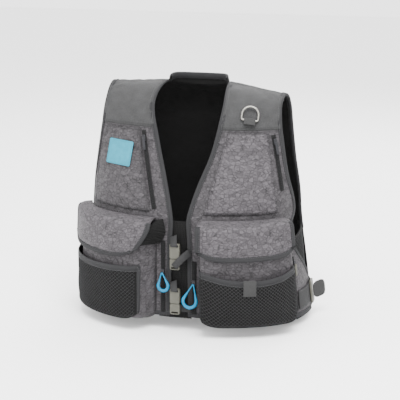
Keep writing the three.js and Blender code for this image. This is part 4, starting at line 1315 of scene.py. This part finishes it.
pivot, across, down, out, long, wide, thick = hung_frame("d_ring", "d_ring_turn")
wire_half, bend_radius = 2.0, 4.0
ring_half, quarter = wide - wire_half, np.linspace(0, math.pi / 2, 10)
bow_centre = long - wide
corner_down, corner_across = bend_radius * (1 - np.cos(quarter)), bend_radius * np.sin(quarter)
bow = np.linspace(0, math.pi, 40)
half_bar = np.stack([0 * quarter, np.linspace(0, ring_half - bend_radius, 10)], -1)[:-1]
half_bend = np.stack([corner_down, ring_half - bend_radius + corner_across], -1)
arch = np.stack([bow_centre + ring_half * np.sin(bow), ring_half * np.cos(bow)], -1)
first_side = np.concatenate([half_bar, half_bend])
line = np.concatenate([first_side, arch, first_side[::-1] * (1, -1)])
d_path = pivot + line[:, :1] * down + line[:, 1:] * across
settle(round_bar("d_ring_wire", d_path, out, wire_half, 1.0, ring_metal), "d_ring", "ring_metal", "d_ring")
eased("d_ring_keeper_loop", "d_ring_keeper", 1.2, 3, webbing_end, "root", "webbing")
eased("mesh_tab_tape", "mesh_tab", 0.6, 2, webbing_end, "mesh_tab", "binding")
eased("chest_badge_face", "chest_badge", 0.5, 3, badge_rubber, "root", "badge")

badge_mount = next(m for m in frame["record"]["mounts"] if m["name"] == "badge_face")
badge_out = unit(np.array(badge_mount["axis"]))
badge_across = unit(np.cross((0.05, 0, 1), badge_out))
badge_up = np.cross(badge_out, badge_across)
half_across, half_up = 57 / 2 - 2.2, 49 / 2 - 2.2
corners = [(-1, -1), (1, -1), (1, 1), (-1, 1), (-1, -1)]
border = [np.array(badge_mount["pos_m"]) / MM + badge_across * a * half_across + badge_up * b * half_up
          + badge_out * 0.1 for a, b in corners]
border_line = np.concatenate([np.linspace(p, q, 20) for p, q in zip(border, border[1:])])
badge_thread = thread_finish("badge_thread", (0.020, 0.130, 0.180))
stitch("badge_stitching", "root", [border_line], badge_thread)

# ---- Webbing ---------------------------------------------------------------------------------------
# Nylon webbing: short tabs hold the buckles to the front edges, wide straps draw in the sides, and
# a loop at the nape hangs the vest up.


def webbing_section(width, low=0.0, thick=1.8):
    half = width / 2
    return [(-half, low + 0.4), (-half + 0.5, low), (half - 0.5, low), (half, low + 0.4),
            (half, low + thick - 0.4), (half - 0.5, low + thick), (-half + 0.5, low + thick),
            (-half, low + thick - 0.4)]


def sewn_y(z):
    heights = np.array([z - 7.0, z + 7.0])
    return float(tube_point(np.full(2, 0.1), heights)[:, 1].min()) - 2.75


def closure_webbing(name, node, points):
    """A short run of webbing through a few points, with no kink where it bends."""
    path = np.array(points, float)
    share = np.linspace(0, 1, len(path))
    bend = [np.polyval(np.polyfit(share, path[:, k], len(path) - 1), np.linspace(0, 1, 24))
            for k in range(3)]
    path = np.stack(bend, -1)
    facing = np.tile([0.0, -1.0, 0.0], (len(path), 1))
    piece = sweep(name, path, facing, side_of(path, facing), webbing_section(14), webbing)
    settle(piece, "root", "webbing", node)


buckle_x, buckle_front = -3, -163.35
for word, top_z in (("upper", -297), ("lower", -388)):
    closure_webbing(word + "_buckle_tab_webbing", word + "_buckle_tab",
                    [(buckle_x - 5, sewn_y(top_z + 13) - 0.33, top_z + 13),
                     (buckle_x - 1, buckle_front, top_z + 2), (buckle_x, buckle_front, top_z - 5)])
plug_z = -297 - 30 - 0.35 - 11
closure_webbing("upper_closure_webbing", "upper_closure_strap",
                [(25, sewn_y(plug_z + 24) - 0.23, plug_z + 24), (buckle_x + 14, buckle_front, plug_z + 12),
                 (buckle_x, buckle_front, plug_z - 4)])
plug_z = -388 - 30 - 0.35 - 11
closure_webbing("lower_closure_webbing", "lower_closure_strap",
                [(x, sewn_y(plug_z) - 0.33, plug_z) for x in (27, 12, buckle_x)])

strap_z, strap_width = -424, 38
for side in (-1, 1):
    line = edge(around(-83 if side < 0 else 71, strap_z),
                around(side * 119, strap_z))(np.linspace(0, 1, 40))
    path, facing = body_point(line[:, 0], line[:, 1]), body_normal(line[:, 0], line[:, 1])
    off = side_of(path, facing)
    word = word_of(side)
    piece = sweep(word + "_side_webbing", path, facing, off, webbing_section(strap_width, layer_gap),
                  webbing)
    settle(piece, "root", "webbing", word + "_side_strap")
    rows = [path + off * 17 * way + facing * 2.55 for way in (-1, 1)]
    stitch(word + "_side_webbing_stitching", "root", rows, pale_thread)

loop_share = np.linspace(0, 1, 30)
spots = [place(x, -30, True) for x in np.linspace(-30, 30, 30)]
loop_u, loop_v = np.array(spots).T
path = skin(loop_u, loop_v, 0.9 + 9 * np.sin(math.pi * loop_share))
facing = body_normal(loop_u, loop_v)
piece = sweep("hanging_loop_tape", path, facing, side_of(path, facing), webbing_section(9), webbing)
settle(piece, "root", "webbing", "hanging_loop")

# ---- Back pocket -----------------------------------------------------------------------------------
# A wide, shallow patch pocket across the lower back for a rain shell, full in the middle.


def back_crown(s, t):
    return 2.3 + 6.5 * np.abs(np.sin(math.pi * s) * np.sin(math.pi * t)) ** 0.45


back_pocket = crumple(cut_cloth(edge(around(128, -446), around(128, -262)),
                                edge(around(238, -446), around(238, -262)),
                                back_crown, 5.0), 0.025, 3.0, 3.0, 61)
piece = shell("back_pocket_patch", back_pocket, 1.5, ripstop_pocket, lining)
settle(piece, "root", "ripstop", "back_pocket")
bind("back_pocket_tape", hem_of(back_pocket, "top", 0.01, 0.99, 80), 8, 1.5)
stitch("back_stitching", "root", outline(back_pocket, 2.4, ("left", "right", "bottom"))
       + [seams[-1]] + outline(back, 3.0, ("top",)), pale_thread)
for side in (-1, 1):
    foot_run = hem_of(panels[side], "bottom", 0.0, 1.0, 60)
    bind(word_of(side) + "_hem_tape", foot_run, 8, shell_thickness)
bind("back_hem_tape", hem_of(back, "bottom", 0.0, 1.0, 80), 8, shell_thickness)
stitch("hem_stitching", "root", seams[-3:], pale_thread)

# ---- Floor -------------------------------------------------------------------------------------------
# A plain pale floor just under the hem.
floor_mesh = bpy.data.meshes.new("floor")
reach, floor_z = 6.0, low.z - 0.012
floor_mesh.from_pydata([(-reach, -reach, floor_z), (reach, -reach, floor_z), (reach, reach, floor_z),
                        (-reach, reach, floor_z)], [], [(0, 1, 2, 3)])
floor = bpy.data.objects.new("floor", floor_mesh)
bpy.context.scene.collection.objects.link(floor)
floor_look = bpy.data.materials.new("floor")
floor_look.use_nodes = True
floor_look.node_tree.nodes["Principled BSDF"].inputs["Base Color"].default_value = (0.9, 0.9, 0.9, 1.0)
floor_look.node_tree.nodes["Principled BSDF"].inputs["Roughness"].default_value = 0.9
floor_mesh.materials.append(floor_look)
